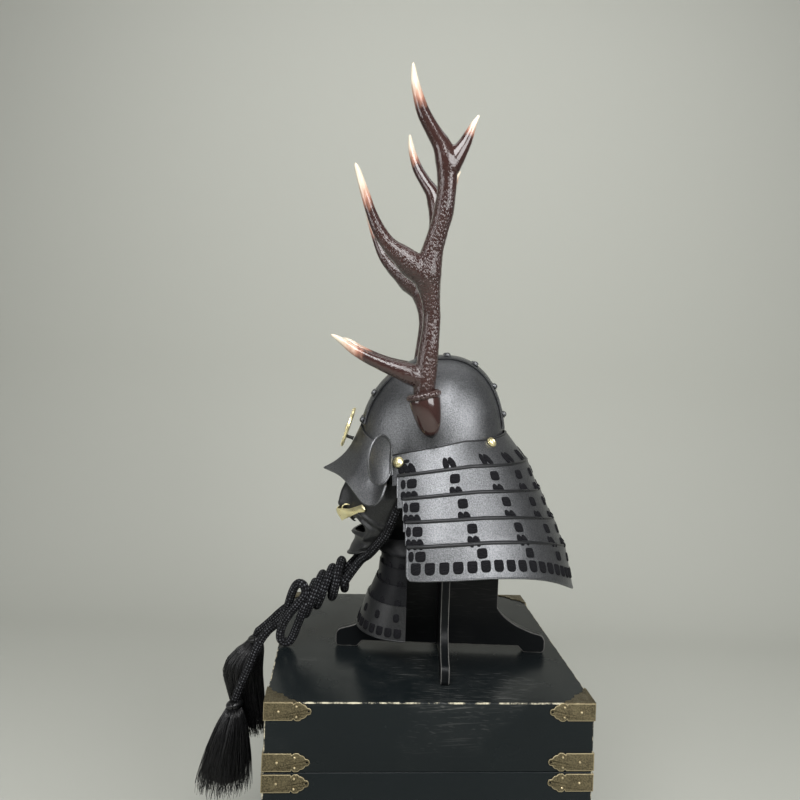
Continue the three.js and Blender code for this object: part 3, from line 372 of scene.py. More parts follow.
# Tassels: black silk threads, laid over the cord's end and bound under a ring of the same silk.
# Sizes are millimetres. Down is a share of the length, and wide and ahead of the radius.
tassel_forms = {
    "long": (
        (0, -311.6, 307.3), 128, 41,
        [(0, 0.22, 0), (0.085, 0.25, 0.02), (0.13, 0.36, 0.03), (0.3, 0.6, 0.09), (0.6, 0.84, 0.2),
         (0.9, 1, 0.3), (1, 1.02, 0.32)],
    ),
    "short": (
        (-44, -288.4, 393.2), 148, 28,
        [(0, 0.34, 0), (0.08, 0.38, 0.12), (0.13, 0.64, 0.26), (0.19, 0.9, 0.5),
         (0.28, 1.05, 0.68), (0.4, 1.12, 0.76), (0.7, 0.95, 0.42), (1, 0.75, -0.05)],
    ),
}
thread_count = 800
thread_radius = 0.0009
thread_steps = 9
thread_root = 0.06
ring_radius = 0.005


def tassel_at(form, down):
    top, length, radius, rows = form
    row = next(i for i in range(1, len(rows)) if rows[i][0] >= min(down, 1) - 1e-6)
    a, b = rows[row - 1], rows[row]
    share = (down - a[0]) / (b[0] - a[0])
    wide = a[1] + (b[1] - a[1]) * share
    ahead = a[2] + (b[2] - a[2]) * share
    return Vector((top[0], top[1] - ahead * radius, top[2] - down * length)) / 1000, wide * radius / 1000


silk, silk_tree, silk_shader = new_material("tassel_silk", (0.004, 0.004, 0.005), 0.36)
silk_tone = spread_value(silk_tree, noise_of(silk_tree, 420, 2, (1, 1, 0.08)), 0.35, 0.7)
silk_color = mix_color(silk_tree, silk_tone, (0.0012, 0.0012, 0.0015, 1), (0.009, 0.009, 0.01, 1))
silk_tree.links.new(silk_color, silk_shader.inputs["Base Color"])
bump(silk_tree, silk_shader, silk_tone, 0.0006, 0.5)
silk_shader.inputs["Anisotropic"].default_value = 0.5


def joined(name, pieces):
    select_only(*pieces)
    bpy.context.view_layer.objects.active = pieces[0]
    if len(pieces) > 1:
        bpy.ops.object.join()
    pieces[0].name = name
    pieces[0].data.name = name
    return pieces[0]


def tassel(name, form, seed):
    chance = random.Random(seed)
    parts = []
    core = []
    for i in range(9):
        place, radius = tassel_at(form, 0.02 + 0.88 * i / 8)
        core.append(Vector((*place, radius * (0.8 if i < 7 else 0.55))))
    parts.append(tube(name, core, 20)[0])
    ring_place, neck_radius = tassel_at(form, 0.04)
    ring = []
    for i in range(33):
        angle = 2 * math.pi * i / 32
        on_ring = Vector((math.cos(angle), math.sin(angle), 0.25 * math.sin(angle)))
        ring.append(ring_place + neck_radius * 0.85 * on_ring)
    parts.append(tube("ring", ring, 12, ring_radius)[0])
    for i in range(thread_count):
        angle = chance.uniform(0, 2 * math.pi)
        depth = math.sqrt(chance.uniform(0.2, 1.04))
        end = chance.uniform(0.9, 1.05) if i % 7 else chance.uniform(0.78, 0.98)
        stray = chance.uniform(-0.08, 0.08)
        points = []
        for k in range(thread_steps + 1):
            down = thread_root + (end - thread_root) * k / thread_steps
            place, radius = tassel_at(form, min(down, 1))
            place.z -= max(down - 1, 0) * form[1] / 1000
            swing = angle + stray * down ** 3 * 4 + 0.02 * math.sin(k * 1.7 + i)
            reach = radius * (depth + 0.05 * down * math.sin(i * 2.4))
            out = Vector((math.sin(swing), math.cos(swing), 0)) * reach
            points.append(Vector((*(place + out), thread_radius * (1 - 0.75 * down))))
        parts.append(tube("thread", points, 4)[0])
    piece = joined(name, parts)
    dress(piece, silk, "tassel_silk", name.removesuffix("_threads"))
    return piece


long_tassel = tassel("tassel_long_threads", tassel_forms["long"], 11)
short_tassel = tassel("tassel_short_threads", tassel_forms["short"], 12)


# Bowl: an egg-shaped helmet bowl raised from iron sheet, 3 mm thick, lacquered satin black with
# a fine grain, whose colour carries painted shade in its hollows and a painted glint on its crests.
# It is fuller behind than in front, and its rim rises towards the rear.
bowl_centre = Vector((0, -0.008, 0.708))
bowl_front = 0.125
bowl_rear = 0.093
bowl_half_width = 0.093
bowl_height = 0.1395
bowl_wall = 0.003
skirt_depth = 0.04
rim_tilt = math.radians(8.2)
rim_front_drop = 0.017


def mix(a, b, share):
    return a + (b - a) * share


def dome_fullness(to_rear):
    return 2.22 + 0.1 * to_rear


def dome_point(turn, rise, grow):
    to_rear = math.cos(turn)
    power = 2 / dome_fullness(to_rear)
    flat = max(math.cos(rise), 0) ** power
    reach = bowl_rear if to_rear > 0 else bowl_front
    return Vector((
        (bowl_half_width + grow) * flat * math.sin(turn),
        (reach + grow) * flat * to_rear,
        (bowl_height + grow) * max(math.sin(rise), 0) ** power,
    ))


def apply(piece, kind, **settings):
    select_only(piece)
    modifier = piece.modifiers.new(kind.lower(), kind)
    for key, value in settings.items():
        setattr(modifier, key, value)
    bpy.ops.object.modifier_apply(modifier=modifier.name)


def edit(piece):
    select_only(piece)
    bpy.ops.object.mode_set(mode="EDIT")
    bpy.ops.mesh.select_all(action="SELECT")


def select_faces(piece, chosen):
    edit(piece)
    bpy.ops.mesh.select_all(action="DESELECT")
    bpy.context.tool_settings.mesh_select_mode = (False, False, True)
    mesh = bmesh.from_edit_mesh(piece.data)
    for face in mesh.faces:
        if chosen(face):
            face.select_set(True)
    bmesh.update_edit_mesh(piece.data)


def leave_edit(piece, degrees):
    bpy.context.tool_settings.mesh_select_mode = (True, False, False)
    bpy.ops.object.mode_set(mode="OBJECT")
    select_only(piece)
    bpy.ops.object.shade_smooth_by_angle(angle=math.radians(degrees))


# A grid laid where place(u, v) says, which gives the outer face, and thickened inwards.
def sheet(name, across, down, place, wall, centre=bowl_centre, degrees=40, rim_below=None):
    select_only()
    bpy.ops.mesh.primitive_grid_add(x_subdivisions=across, y_subdivisions=down, size=1)
    piece = bpy.context.object
    piece.name = name
    piece.data.name = name
    for corner in piece.data.vertices:
        corner.co = place(corner.co.x + 0.5, corner.co.y + 0.5)
    edit(piece)
    bpy.ops.mesh.remove_doubles(threshold=0.00001)
    bpy.ops.mesh.normals_make_consistent(inside=False)
    if rim_below:
        bpy.ops.mesh.bisect(plane_co=rim_below[0], plane_no=rim_below[1], clear_inner=True)
    bpy.ops.object.mode_set(mode="OBJECT")
    outward = sum(face.normal.dot(face.center - centre) * face.area for face in piece.data.polygons)
    if outward < 0:
        edit(piece)
        bpy.ops.mesh.flip_normals()
        bpy.ops.object.mode_set(mode="OBJECT")
    apply(piece, "SOLIDIFY", thickness=wall, offset=-1)
    edit(piece)
    leave_edit(piece, degrees)
    return piece


# An effect that several finishes share is one node group, with its values as inputs.
def effect_group(name, inputs, outputs):
    group = bpy.data.node_groups.new(name, "ShaderNodeTree")
    for way, sockets in (("INPUT", inputs), ("OUTPUT", outputs)):
        for label, kind in sockets:
            group.interface.new_socket(name=label, in_out=way, socket_type=f"NodeSocket{kind}")
    given = group.nodes.new("NodeGroupInput").outputs
    result = group.nodes.new("NodeGroupOutput").inputs
    return group, given, result


def place_group(tree, group, values):
    node = tree.nodes.new("ShaderNodeGroup")
    node.node_tree = group
    for label, value in values.items():
        wire(tree, node.inputs[label], value)
    return node.outputs


black = (0, 0, 0, 1)
white = (1, 1, 1, 1)
# Iron finish, as a group: cloudy tone, a roughness haze and a fine grain for the bump. The colour is painted darker
# in the grain's hollows and lighter on its crests, as painted shade and glint.
iron_grain_and_glint, given, result = effect_group(
    "iron_grain_and_glint",
    (("Color", "Color"), ("Roughness", "Float"), ("Glint", "Float")),
    (("Color", "Color"), ("Roughness", "Float"), ("Height", "Float")))
iron_clouds = spread_value(iron_grain_and_glint, noise_of(iron_grain_and_glint, 14, 4), 0.3, 0.7)
iron_dull = mix_color(iron_grain_and_glint, 0.14, given["Color"], black)
iron_tone = mix_color(iron_grain_and_glint, iron_clouds, iron_dull, given["Color"])
fine_grain = noise_of(iron_grain_and_glint, 560, 2)
# Painted shade in the grain's hollows, and a painted glint mixed towards white on its crests.
grain_hollow_shade = mix_color(iron_grain_and_glint, 0.34, iron_tone, black)
grain_crest_glint = mix_color(iron_grain_and_glint, given["Glint"], iron_tone, white)
iron_tone = mix_color(iron_grain_and_glint, spread_value(iron_grain_and_glint, fine_grain, 0.3, 0.7), grain_hollow_shade, grain_crest_glint)
iron_grain_and_glint.links.new(iron_tone, result["Color"])
iron_haze = spread_value(iron_grain_and_glint, noise_of(iron_grain_and_glint, 60, 3), 0.3, 0.7, -0.03, 0.05)
iron_grain_and_glint.links.new(math_node(iron_grain_and_glint, "ADD", given["Roughness"], iron_haze), result["Roughness"])
iron_grain_and_glint.links.new(fine_grain, result["Height"])


def iron_finish(name, color, roughness, metallic, grain_depth):
    material, tree, shader = new_material(name, color, roughness, metallic)
    values = {"Color": (*color, 1), "Roughness": roughness, "Glint": 0.35 * color[0]}
    grained = place_group(tree, iron_grain_and_glint, values)
    tree.links.new(grained["Color"], shader.inputs["Base Color"])
    tree.links.new(grained["Roughness"], shader.inputs["Roughness"])
    bump(tree, shader, grained["Height"], grain_depth, 0.6)
    return material


iron = iron_finish("black_iron", (0.14, 0.144, 0.151), 0.38, 0.88, 0.0008)
# A darker copy of the iron, as painted shade: on the lames' rolled edges and on the crest's stem.
painted_shade_iron = iron_finish("black_iron_painted_shade", (0.022, 0.023, 0.025), 0.36, 0.5, 0.0004)
mask_iron = iron_finish("black_iron_face", (0.027, 0.028, 0.029), 0.35, 0.35, 0.0002)
# A much darker, dull copy of the iron, as painted shade on the throat lames under the mask.
shaded_throat_iron = iron_finish("black_iron_throat_shade", (0.009, 0.0095, 0.011), 0.42, 0.0, 0.0002)
shaded_throat_iron.node_tree.nodes["Principled BSDF"].inputs["Specular IOR Level"].default_value = 0.14


def bowl_place(u, v):
    turn = 2 * math.pi * u
    low_share = 0.2
    if v < low_share:
        foot = dome_point(turn, 0, 0)
        return bowl_centre + foot - Vector((0, 0, skirt_depth * (1 - v / low_share)))
    return bowl_centre + dome_point(turn, (v - low_share) / (1 - low_share) * math.pi / 2, 0)


rim_place = bowl_centre + Vector((0, -bowl_front, -rim_front_drop))
rim_normal = (0, -math.sin(rim_tilt), math.cos(rim_tilt))
bowl = sheet("bowl_shell", 96, 40, bowl_place, bowl_wall, rim_below=(rim_place, rim_normal))
dress(bowl, iron, "black_iron", "bowl")
for name in ("antler_pin_left", "antler_pin_right"):
    pin = bpy.data.objects[name]
    pin.data.materials.clear()
    pin.data.materials.append(iron)


# Crown band: a strap of the same iron over the bowl from front to rear, with two rows of
# domed rivets. Its edges stand proud and catch the light.
band_half_width = 0.026
band_thickness = 0.0024
band_gap = 0.00105
band_foot = 0.0345
band_end = math.radians(13)
rivet_pitch = 0.0432
rivet_row_offset = 0.019
rivet_count = 8
rivet_shift = 0.009


def band_point(angle, across, grow):
    q = across / (bowl_half_width + grow)
    side = -math.cos(angle)
    low = 0.0
    high = 1.2
    for _ in range(30):
        middle = (low + high) / 2
        y = middle * side
        r = math.hypot(y, q)
        fullness = dome_fullness(y / r if r else 0)
        if r ** fullness + (middle * math.sin(angle)) ** fullness > 1:
            high = middle
        else:
            low = middle
    reach = (bowl_rear if side > 0 else bowl_front) + grow
    return bowl_centre + Vector((across, low * side * reach, low * math.sin(angle) * (bowl_height + grow)))


def profile_piece(name, profile, sides):
    radius, height = profile[0]
    select_only()
    bpy.ops.mesh.primitive_circle_add(vertices=sides, radius=radius, fill_type="NGON",
                                      location=(0, 0, height))
    piece = bpy.context.object
    piece.name = name
    edit(piece)
    for radius, height in profile[1:]:
        before = profile[profile.index((radius, height)) - 1]
        bpy.ops.mesh.extrude_region_move(TRANSFORM_OT_translate={"value": (0, 0, height - before[1])})
        scale = radius / before[0]
        bpy.ops.transform.resize(value=(scale, scale, 1), center_override=(0, 0, height))
    bpy.ops.mesh.select_all(action="SELECT")
    bpy.ops.mesh.normals_make_consistent(inside=False)
    leave_edit(piece, 50)
    piece.data.transform(piece.matrix_world)
    piece.matrix_world = Matrix.Identity(4)
    return piece


def copied(pattern, matrix):
    twin = pattern.copy()
    twin.data = pattern.data.copy()
    twin.data.transform(matrix)
    bpy.context.collection.objects.link(twin)
    return twin


def discard(piece):
    bpy.data.objects.remove(piece)


# A matrix that takes Z along out at a place, with X as near to level as it can be.
def facing(place, out):
    out = out.normalized()
    across = Vector((0, 0, 1)).cross(out)
    across = across.normalized() if across.length > 0.01 else Vector((1, 0, 0))
    up = out.cross(across)
    return Matrix.Translation(place) @ Matrix((across, up, out)).transposed().to_4x4()


def band_place(u, v):
    across = (v - 0.5) * 2 * band_half_width
    return band_point(band_end + u * (math.pi - 2 * band_end), across, band_gap + band_thickness)


band = sheet("crown_band_strap", 90, 8, band_place, band_thickness,
             rim_below=(bowl_centre + Vector((0, 0, band_foot)), (0, 0, 1)))
rivet_profile = [(0.0058, 0.0), (0.0058, 0.0008), (0.0046, 0.0014), (0.0044, 0.003), (0.0034, 0.0044),
                 (0.0017, 0.0052), (0.0002, 0.0054)]
rivet = profile_piece("rivet", rivet_profile, 16)
run = []
length = 0
for step in range(361):
    here = band_point(math.radians(step / 2), 0, 0)
    if run:
        length += (here - run[-1][2]).length
    run.append((math.radians(step / 2), length, here))
first_rivet = length / 2 - rivet_shift - (rivet_count - 1) * rivet_pitch / 2
band_parts = [band]
for i in range(rivet_count):
    angle = next(row[0] for row in run if row[1] >= first_rivet + i * rivet_pitch)
    for side in (-1, 1):
        place = band_point(angle, side * rivet_row_offset, band_gap + band_thickness)
        out = band_point(angle, side * rivet_row_offset, 0.02) - band_point(angle, side * rivet_row_offset, 0)
        band_parts.append(copied(rivet, facing(place - out * 0.01, out)))
discard(rivet)
band = joined("crown_band_strap", band_parts)
dress(band, iron, "black_iron", "crown_band")


# Visor: one iron sheet that leaves the bowl's front, sweeps out to a point over the nose and
# down to a rounded lobe over each cheek.
visor_reach = 0.179
visor_half_width = 0.11
visor_drop = 0.072
visor_top = 0.033
visor_wall = 0.0025
visor_wrap = math.radians(50)
visor_edge = [(0, 1, 0.53), (0.32, 0.864, 0.583), (0.64, 0.769, 0.669), (0.82, 0.695, 0.82),
              (0.93, 0.64, 0.94), (0.98, 0.581, 1), (1, 0.53, 0.96), (0.99, 0.49, 0.83), (0.95, 0.462, 0.61)]
edge_points = [(a * visor_half_width * 1000, -b * visor_reach * 1000, -c * visor_drop * 1000)
               for a, b, c in visor_edge]
edge_route = smooth_route(edge_points, 0.0005)
edge_runs = [0]
for a, b in zip(edge_route, edge_route[1:]):
    edge_runs.append(edge_runs[-1] + (b - a).length)


def along(route, runs, share):
    want = share * runs[-1]
    i = max(1, next((n for n, run_to in enumerate(runs) if run_to >= want), len(runs) - 1))
    t = (want - runs[i - 1]) / (runs[i] - runs[i - 1])
    return route[i - 1].lerp(route[i], t)


def visor_place(u, v):
    side = u * 2 - 1
    share = abs(side)
    free = along(edge_route, edge_runs, share)
    wrap = math.pi - share * visor_wrap
    level = mix(visor_top, 0.004, share ** 1.2) / bowl_height
    root = dome_point(wrap, math.asin(level ** (dome_fullness(math.cos(wrap)) / 2)), 0.0006)
    flare = 0.5 * v + 0.5 * v ** 4
    place = Vector((mix(root.x, free.x, flare), mix(root.y, free.y, flare), mix(root.z, free.z, v)))
    place += Vector((math.sin(wrap), math.cos(wrap), 0.9 * v)).normalized() * visor_wall
    place.x *= -1 if side < 0 else 1
    return bowl_centre + place


visor = sheet("visor_plate", 80, 24, visor_place, visor_wall)
dress(visor, iron, "black_iron", "visor")


# Neck guard: five lames of iron sheet, each flared more than the one above it. Their upper
# edges are rolled to a bead in a darker iron that is painted shade, and silk lacing joins them.
hem_half_width = 0.18
hem_reach = 0.205
hem_rear_drop = 0.232
hem_side_drop = 0.17
hem_front_drop = 0.157
guard_top_rear = 0.031
guard_top_side = 0.023
guard_setback = -0.007
guard_front_reach = 0.13
lame_wall = 0.0018
lame_gap = 0.00095
lame_overlap = 0.015
hem_corner = 0.009
guard_lines = [
    {"out": 0, "back": 0, "rear": 0, "side": 0, "front": 0},
    {"out": 0.24, "back": 0.31, "rear": 0.17, "side": 0.19, "front": 0.18},
    {"out": 0.44, "back": 0.5, "rear": 0.356, "side": 0.38, "front": 0.37},
    {"out": 0.63, "back": 0.7, "rear": 0.542, "side": 0.57, "front": 0.55},
    {"out": 0.83, "back": 0.87, "rear": 0.712, "side": 0.74, "front": 0.74},
    {"out": 1, "back": 1, "rear": 1, "side": 1, "front": 1},
]
last_lame = len(guard_lines) - 2
lame_steps = 96
lame_cover = 1 + lame_overlap / (hem_side_drop * 0.2)
strip_radius = 0.0016
hem_radius = 0.0015
lame_ends = [math.radians(degrees) for degrees in (122, 117.5, 113, 110.7, 109.4)]
guard_top_half = bowl_half_width + lame_wall + 0.0009
guard_top_reach = bowl_rear + lame_wall + 0.0012


def guard_point(level, turn, grow):
    row = min(int(level), last_lame)
    above = guard_lines[row]
    below = guard_lines[row + 1]
    share = {key: mix(above[key], below[key], level - row) for key in above}
    width = mix(guard_top_half, hem_half_width, share["out"]) + grow
    rear_reach = mix(guard_top_reach, hem_reach, share["back"]) - guard_setback + grow
    c = math.cos(turn)
    rear_z = guard_top_rear - hem_rear_drop * share["rear"]
    side_z = guard_top_side - hem_side_drop * share["side"]
    front_z = -hem_front_drop * share["front"]
    forward = max(math.degrees(abs(turn)) - 70, 0) / 48
    height = mix(side_z, rear_z, c ** 4 if c > 0 else 0) + (front_z - side_z) * forward ** 1.2
    reach = rear_reach if c > 0 else guard_front_reach + grow
    return bowl_centre + Vector((width * math.sin(turn), guard_setback + reach * c, height))


def lame_turn(u, end):
    return end * math.sin((u - 0.5) * math.pi)


def lame_place(index, u, v, grow=0.0):
    last = index == last_lame
    end = lame_ends[index]
    turn = lame_turn(u, end)
    down = v if last else v * lame_cover
    if last:
        short = max(hem_corner - (end - abs(turn)) * hem_half_width, 0)
        lift = hem_corner - math.sqrt(hem_corner ** 2 - short ** 2)
        down -= down * lift / (hem_front_drop * 0.26)
    inset = 0 if last else down * (lame_wall + lame_gap)
    return guard_point(index + down, turn, grow - inset)


beads = []
for index in range(last_lame + 1):
    plate = sheet(f"lame_{index + 1}", lame_steps, 8, lambda u, v: lame_place(index, u, v), lame_wall)
    upper = 0.0012 if index == 0 else 0.0028
    inset = 0.0 if index == 0 else -0.0007
    route = [lame_place(index, i / lame_steps, 0.03, inset) for i in range(lame_steps + 1)]
    near_end = route[0] + (route[0] - route[1]).normalized() * 0.001
    far_end = route[-1] + (route[-1] - route[-2]).normalized() * 0.001
    bead_route = []
    for i, place in enumerate(route):
        to_side = min(abs(lame_turn(i / lame_steps, lame_ends[index])) / 1.1, 1)
        bead_route.append(Vector((*place, upper * (0.45 + 0.55 * to_side))))
    bead_route = [Vector((*near_end, upper * 0.4))] + bead_route + [Vector((*far_end, upper * 0.4))]
    beads.append(tube("bead", bead_route, 10)[0])
    parts = [plate]
    for side in (0, 1):
        down = 1 if index == last_lame else 1 / lame_cover
        strip = [lame_place(index, side, down * (0.06 + 0.92 * k / 12), -0.0006) for k in range(13)]
        parts.append(tube("strip", strip, 10, strip_radius)[0])
    if index == last_lame:
        hem = [lame_place(index, i / lame_steps, 0.995, -0.0007) for i in range(lame_steps + 1)]
        parts.append(tube("hem", hem, 10, hem_radius)[0])
    plate = joined(f"lame_{index + 1}", parts)
    dress(plate, iron, "black_iron", f"neck_lame_{index + 1}")
# The rolled edges take the darker iron, which is painted shade.
lame_beads = joined("lame_rolled_edges", beads)
dress(lame_beads, painted_shade_iron, "black_iron")


# Silk lacing: flat black braid that holds the lames together. It shows as small rounded squares
# low on each lame's face, as folded crowns above the next lame, and as a row along the hem.
lacing, lacing_tree, lacing_shader = new_material("lacing_silk", (0.008, 0.008, 0.009), 0.9)
lacing_shader.inputs["Specular IOR Level"].default_value = 0.1
ribs = lacing_tree.nodes.new("ShaderNodeTexWave")
ribs.wave_type = "BANDS"
ribs.bands_direction = "Z"
ribs.inputs["Scale"].default_value = 190
ribs.inputs["Distortion"].default_value = 5
ribs.inputs["Detail"].default_value = 2
rib_place = lacing_tree.nodes.new("ShaderNodeTexCoord")
lacing_tree.links.new(rib_place.outputs["Object"], ribs.inputs["Vector"])
rib_tone = mix_color(lacing_tree, ribs.outputs["Fac"], (0.001, 0.001, 0.002, 1), (0.016, 0.016, 0.018, 1))
lacing_tree.links.new(rib_tone, lacing_shader.inputs["Base Color"])
bump(lacing_tree, lacing_shader, ribs.outputs["Fac"], 0.0006, 0.7)
patch_height = 0.0015
patch_sides = 28
patch_profile = [(1.0, -0.6), (1.0, 0.25), (0.92, 0.75), (0.7, 1.0), (0.05, 1.05)]
patch_form = profile_piece("patch_form", patch_profile, patch_sides)


# One patch: half sizes in metres, lean tips its top forwards, and power squares its outline.
def patch(place_at, level, turn, half_wide, half_tall, lean=0.0, power=4.0, flat_top=False):
    step = 0.01
    at = place_at(level, turn, 0)
    along_turn = (place_at(level, turn + step, 0) - at).length / step
    along_level = (place_at(level + step, turn, 0) - at).length / step
    twin = copied(patch_form, Matrix.Identity(4))
    for corner in twin.data.vertices:
        x, y, z = corner.co
        r = math.hypot(x, y)
        if r > 1e-6:
            own_power = 8.0 if flat_top and y > 0 else power
            unit = (abs(x / r) ** own_power + abs(y / r) ** own_power) ** (1 / own_power)
            x, y = x / unit, y / unit
        across = x * half_wide
        down = -y * half_tall
        turned = across * math.cos(lean) - down * math.sin(lean)
        down = across * math.sin(lean) + down * math.cos(lean)
        across = turned
        corner.co = place_at(level + down / along_level, turn + across / along_turn, z * patch_height)
    return twin


def guard_face(level, turn, grow):
    row = min(int(level), last_lame)
    inset = 0 if row == last_lame else (level - row) * (lame_wall + lame_gap)
    return guard_point(max(level, 0), turn, grow - inset)


# The columns of lacing: each has its turn from the rear in degrees at the top and at the hem.
lacing_columns = [
    {"top": 110, "hem": 101.5, "lobes": 3},
    {"top": 85, "hem": 74, "lobes": 2},
    {"top": 60, "hem": 52.3, "lobes": 2},
    {"top": 40, "hem": 31.3, "lobes": 2},
    {"top": 20, "hem": 15, "lobes": 2},
    {"top": 0, "hem": 0, "lobes": 2},
]
lobe_half = ((0.0043, 0.0098), (0.0043, 0.0066))
square_half = (0.0071, 0.0067)
lobe_pitch = 0.0082
lobe_shift = 0.004
oval_half = (0.0037, 0.0066)
oval_aside = 0.0128
flap_tie_half = (0.0052, 0.0027)
hem_patch_half = (0.0069, 0.0078)
hem_pitch = 0.0187
patches = []
for column in lacing_columns:
    for side in (1, -1):
        if side < 0 and column["top"] == 0:
            continue
        for index in range(last_lame + 1):
            turn = math.radians(mix(column["top"], column["hem"], index / last_lame))
            beside = guard_face(index + 0.5, turn + 0.01, 0)
            run_per_turn = (beside - guard_face(index + 0.5, turn, 0)).length / 0.01
            if index > 0:
                level = index + (0.43 if index < last_lame else 0.3)
                patches.append(patch(guard_face, level, side * turn, *square_half))
                if column["lobes"] == 3:
                    oval_turn = side * (turn + oval_aside / run_per_turn)
                    patches.append(patch(guard_face, level, oval_turn, *oval_half, power=2.4))
            if index == last_lame:
                continue
            start = -(column["lobes"] - 1) / 2
            shift = lobe_shift if column["lobes"] == 3 else 0.0
            lobe_level = index + (0.8 if index == 0 else 0.92)
            for k in range(column["lobes"]):
                offset = (start + k) * lobe_pitch - shift
                lobe_turn = side * (turn - offset / run_per_turn)
                tilt = math.radians(12 if k == 0 else 24)
                patches.append(patch(guard_face, lobe_level, lobe_turn, *lobe_half[min(index, 1)],
                                     lean=side * tilt, power=2.0))
hem_level = 4.66
hem_turn = lame_ends[last_lame]
hem_step = 0.002
hem_run = 0.006
while hem_turn > 0.03:
    hem_turn -= hem_step
    hem_run += (guard_face(hem_level, hem_turn + hem_step, 0) - guard_face(hem_level, hem_turn, 0)).length
    if hem_run < hem_pitch:
        continue
    hem_run -= hem_pitch
    for side in (1, -1):
        patches.append(patch(guard_face, hem_level, side * hem_turn, *hem_patch_half,
                             power=3.0, flat_top=True))
for side in (1, -1):
    patches.append(patch(guard_face, 0.44, side * math.radians(112), *flap_tie_half, power=2.2))
lacing_piece = joined("silk_lacing", patches)
dress(lacing_piece, lacing, "cord")


# Gold rivets: domed gilt washers on the top lame, two on each side.
gold, gold_tree, gold_shader = new_material("polished_gold", (0.95, 0.8, 0.42), 0.3, 0.92)
gold_wear = noise_of(gold_tree, 120, 4)
gold_rough = spread_value(gold_tree, gold_wear, 0.3, 0.75, 0.26, 0.38)
gold_tree.links.new(gold_rough, gold_shader.inputs["Roughness"])
gold_tone = mix_color(gold_tree, gold_wear, (1.0, 0.84, 0.42, 1), (1.0, 0.95, 0.62, 1))
gold_tree.links.new(gold_tone, gold_shader.inputs["Base Color"])
bump(gold_tree, gold_shader, noise_of(gold_tree, 500, 2), 0.00015, 0.2)
rivet_places = {"front": (117, 0.44), "rear": (47, 0.17)}
front_head = [(0.0082, 0.0)]
front_head += [(0.0082 * math.cos(0.15 * k), 0.001 + 0.0055 * math.sin(0.15 * k)) for k in range(11)]
rear_head = [(0.0074, 0.0), (0.0074, 0.001), (0.0068, 0.0018), (0.005, 0.0019), (0.0044, 0.0028),
             (0.0034, 0.0034), (0.0024, 0.0028), (0.0012, 0.0034), (0.0003, 0.0036)]
for name, (degrees, level) in rivet_places.items():
    head = profile_piece("rivet_head", front_head if name == "front" else rear_head, 28)
    for side in (1, -1):
        turn = side * math.radians(degrees)
        at = guard_face(level, turn, 0)
        out = (guard_face(level, turn + 0.02, 0) - at).cross(guard_face(level + 0.02, turn, 0) - at)
        out = out if out.x * side > 0 else -out
        gilt = copied(head, facing(at + out.normalized() * 0.0009, out))
        gilt.name = f"gilt_rivet_{name}_{'left' if side > 0 else 'right'}"
        dress(gilt, gold, "gold", f"gold_rivet_{name}_{'left' if side > 0 else 'right'}")
    discard(head)


# Flaps: the top lame's front ends, turned out and back as dished ovals beside the temples.
flap_height = 0.07
flap_width = 0.046
flap_wall = 0.0025
flap_dish = 0.005
flap_out = math.radians(43)
flap_ahead = 0.004
flap_rise = 0.011
fold = guard_point(0.55, lame_ends[0], -0.55 * (lame_wall + lame_gap)) - bowl_centre
flap_reach = flap_width * 0.42
flap_centre = Vector((fold.x + flap_reach * math.sin(flap_out) + 0.005,
                      fold.y - flap_reach * math.cos(flap_out) - flap_ahead, fold.z + flap_rise))


def flap_place(side, u, v):
    r = v
    angle = 2 * math.pi * u
    across = max(r * math.sin(angle) * flap_width / 2, -flap_reach)
    depth = flap_wall / 2 + flap_dish * (r * r - 0.5)
    return bowl_centre + Vector((
        side * (flap_centre.x + across * math.sin(flap_out) + depth * math.cos(flap_out)),
        flap_centre.y - across * math.cos(flap_out) + depth * math.sin(flap_out),
        flap_centre.z + r * math.cos(angle) * flap_height / 2,
    ))


for side in (1, -1):
    name = "left" if side > 0 else "right"
    dished = sheet(f"flap_dish_{name}", 64, 12, lambda u, v: flap_place(side, u, v), flap_wall,
                   centre=bowl_centre)
    hinge = [bowl_centre + Vector((side * (fold.x + 0.003), fold.y - 0.004, fold.z - 0.012 + 0.034 * k / 8))
             for k in range(9)]
    rim = tube("flap_rim", [flap_place(side, k / 64, 0.985) for k in range(65)], 8, 0.0016)[0]
    dished = joined(f"flap_dish_{name}", [dished, tube("hinge", hinge, 12, 0.0035)[0], rim])
    dress(dished, iron, "black_iron", f"flap_{name}")


# Crest: a pierced gilt disc with eight petals and a boss, on a short peg from the visor's root.
crest_radius = 0.031
crest_thickness = 0.0035
crest_tilt = math.radians(17)
crest_petals = 8
crest_edge = 0.0006
crest_bead_ring = 0.0285
crest_bead_count = 24
peg_length = 0.011
peg_height = 0.0095
peg_ahead = 0.012
crest_above_peg = 0.014


def outline_piece(name, outline, thickness, edge, holes=()):
    curve = bpy.data.curves.new(name, "CURVE")
    curve.dimensions = "2D"
    curve.fill_mode = "BOTH"
    curve.extrude = thickness / 2 - edge
    curve.bevel_depth = edge
    curve.bevel_resolution = 2
    curve.offset = -edge
    for loop in (outline, *holes):
        line = curve.splines.new("POLY")
        line.points.add(len(loop) - 1)
        for point, (x, y) in zip(line.points, loop):
            point.co = (x, y, 0, 1)
        line.use_cyclic_u = True
    piece = bpy.data.objects.new(name, curve)
    bpy.context.collection.objects.link(piece)
    select_only(piece)
    bpy.ops.object.convert(target="MESH")
    piece = bpy.context.object
    edit(piece)
    bpy.ops.mesh.remove_doubles(threshold=0.00001)
    bpy.ops.mesh.normals_make_consistent(inside=False)
    leave_edit(piece, 35)
    return piece


def arc(cx, cy, radius, start, end, count):
    turns = [math.radians(start + (end - start) * k / count) for k in range(count + 1)]
    return [(cx + radius * math.cos(turn), cy + radius * math.sin(turn)) for turn in turns]


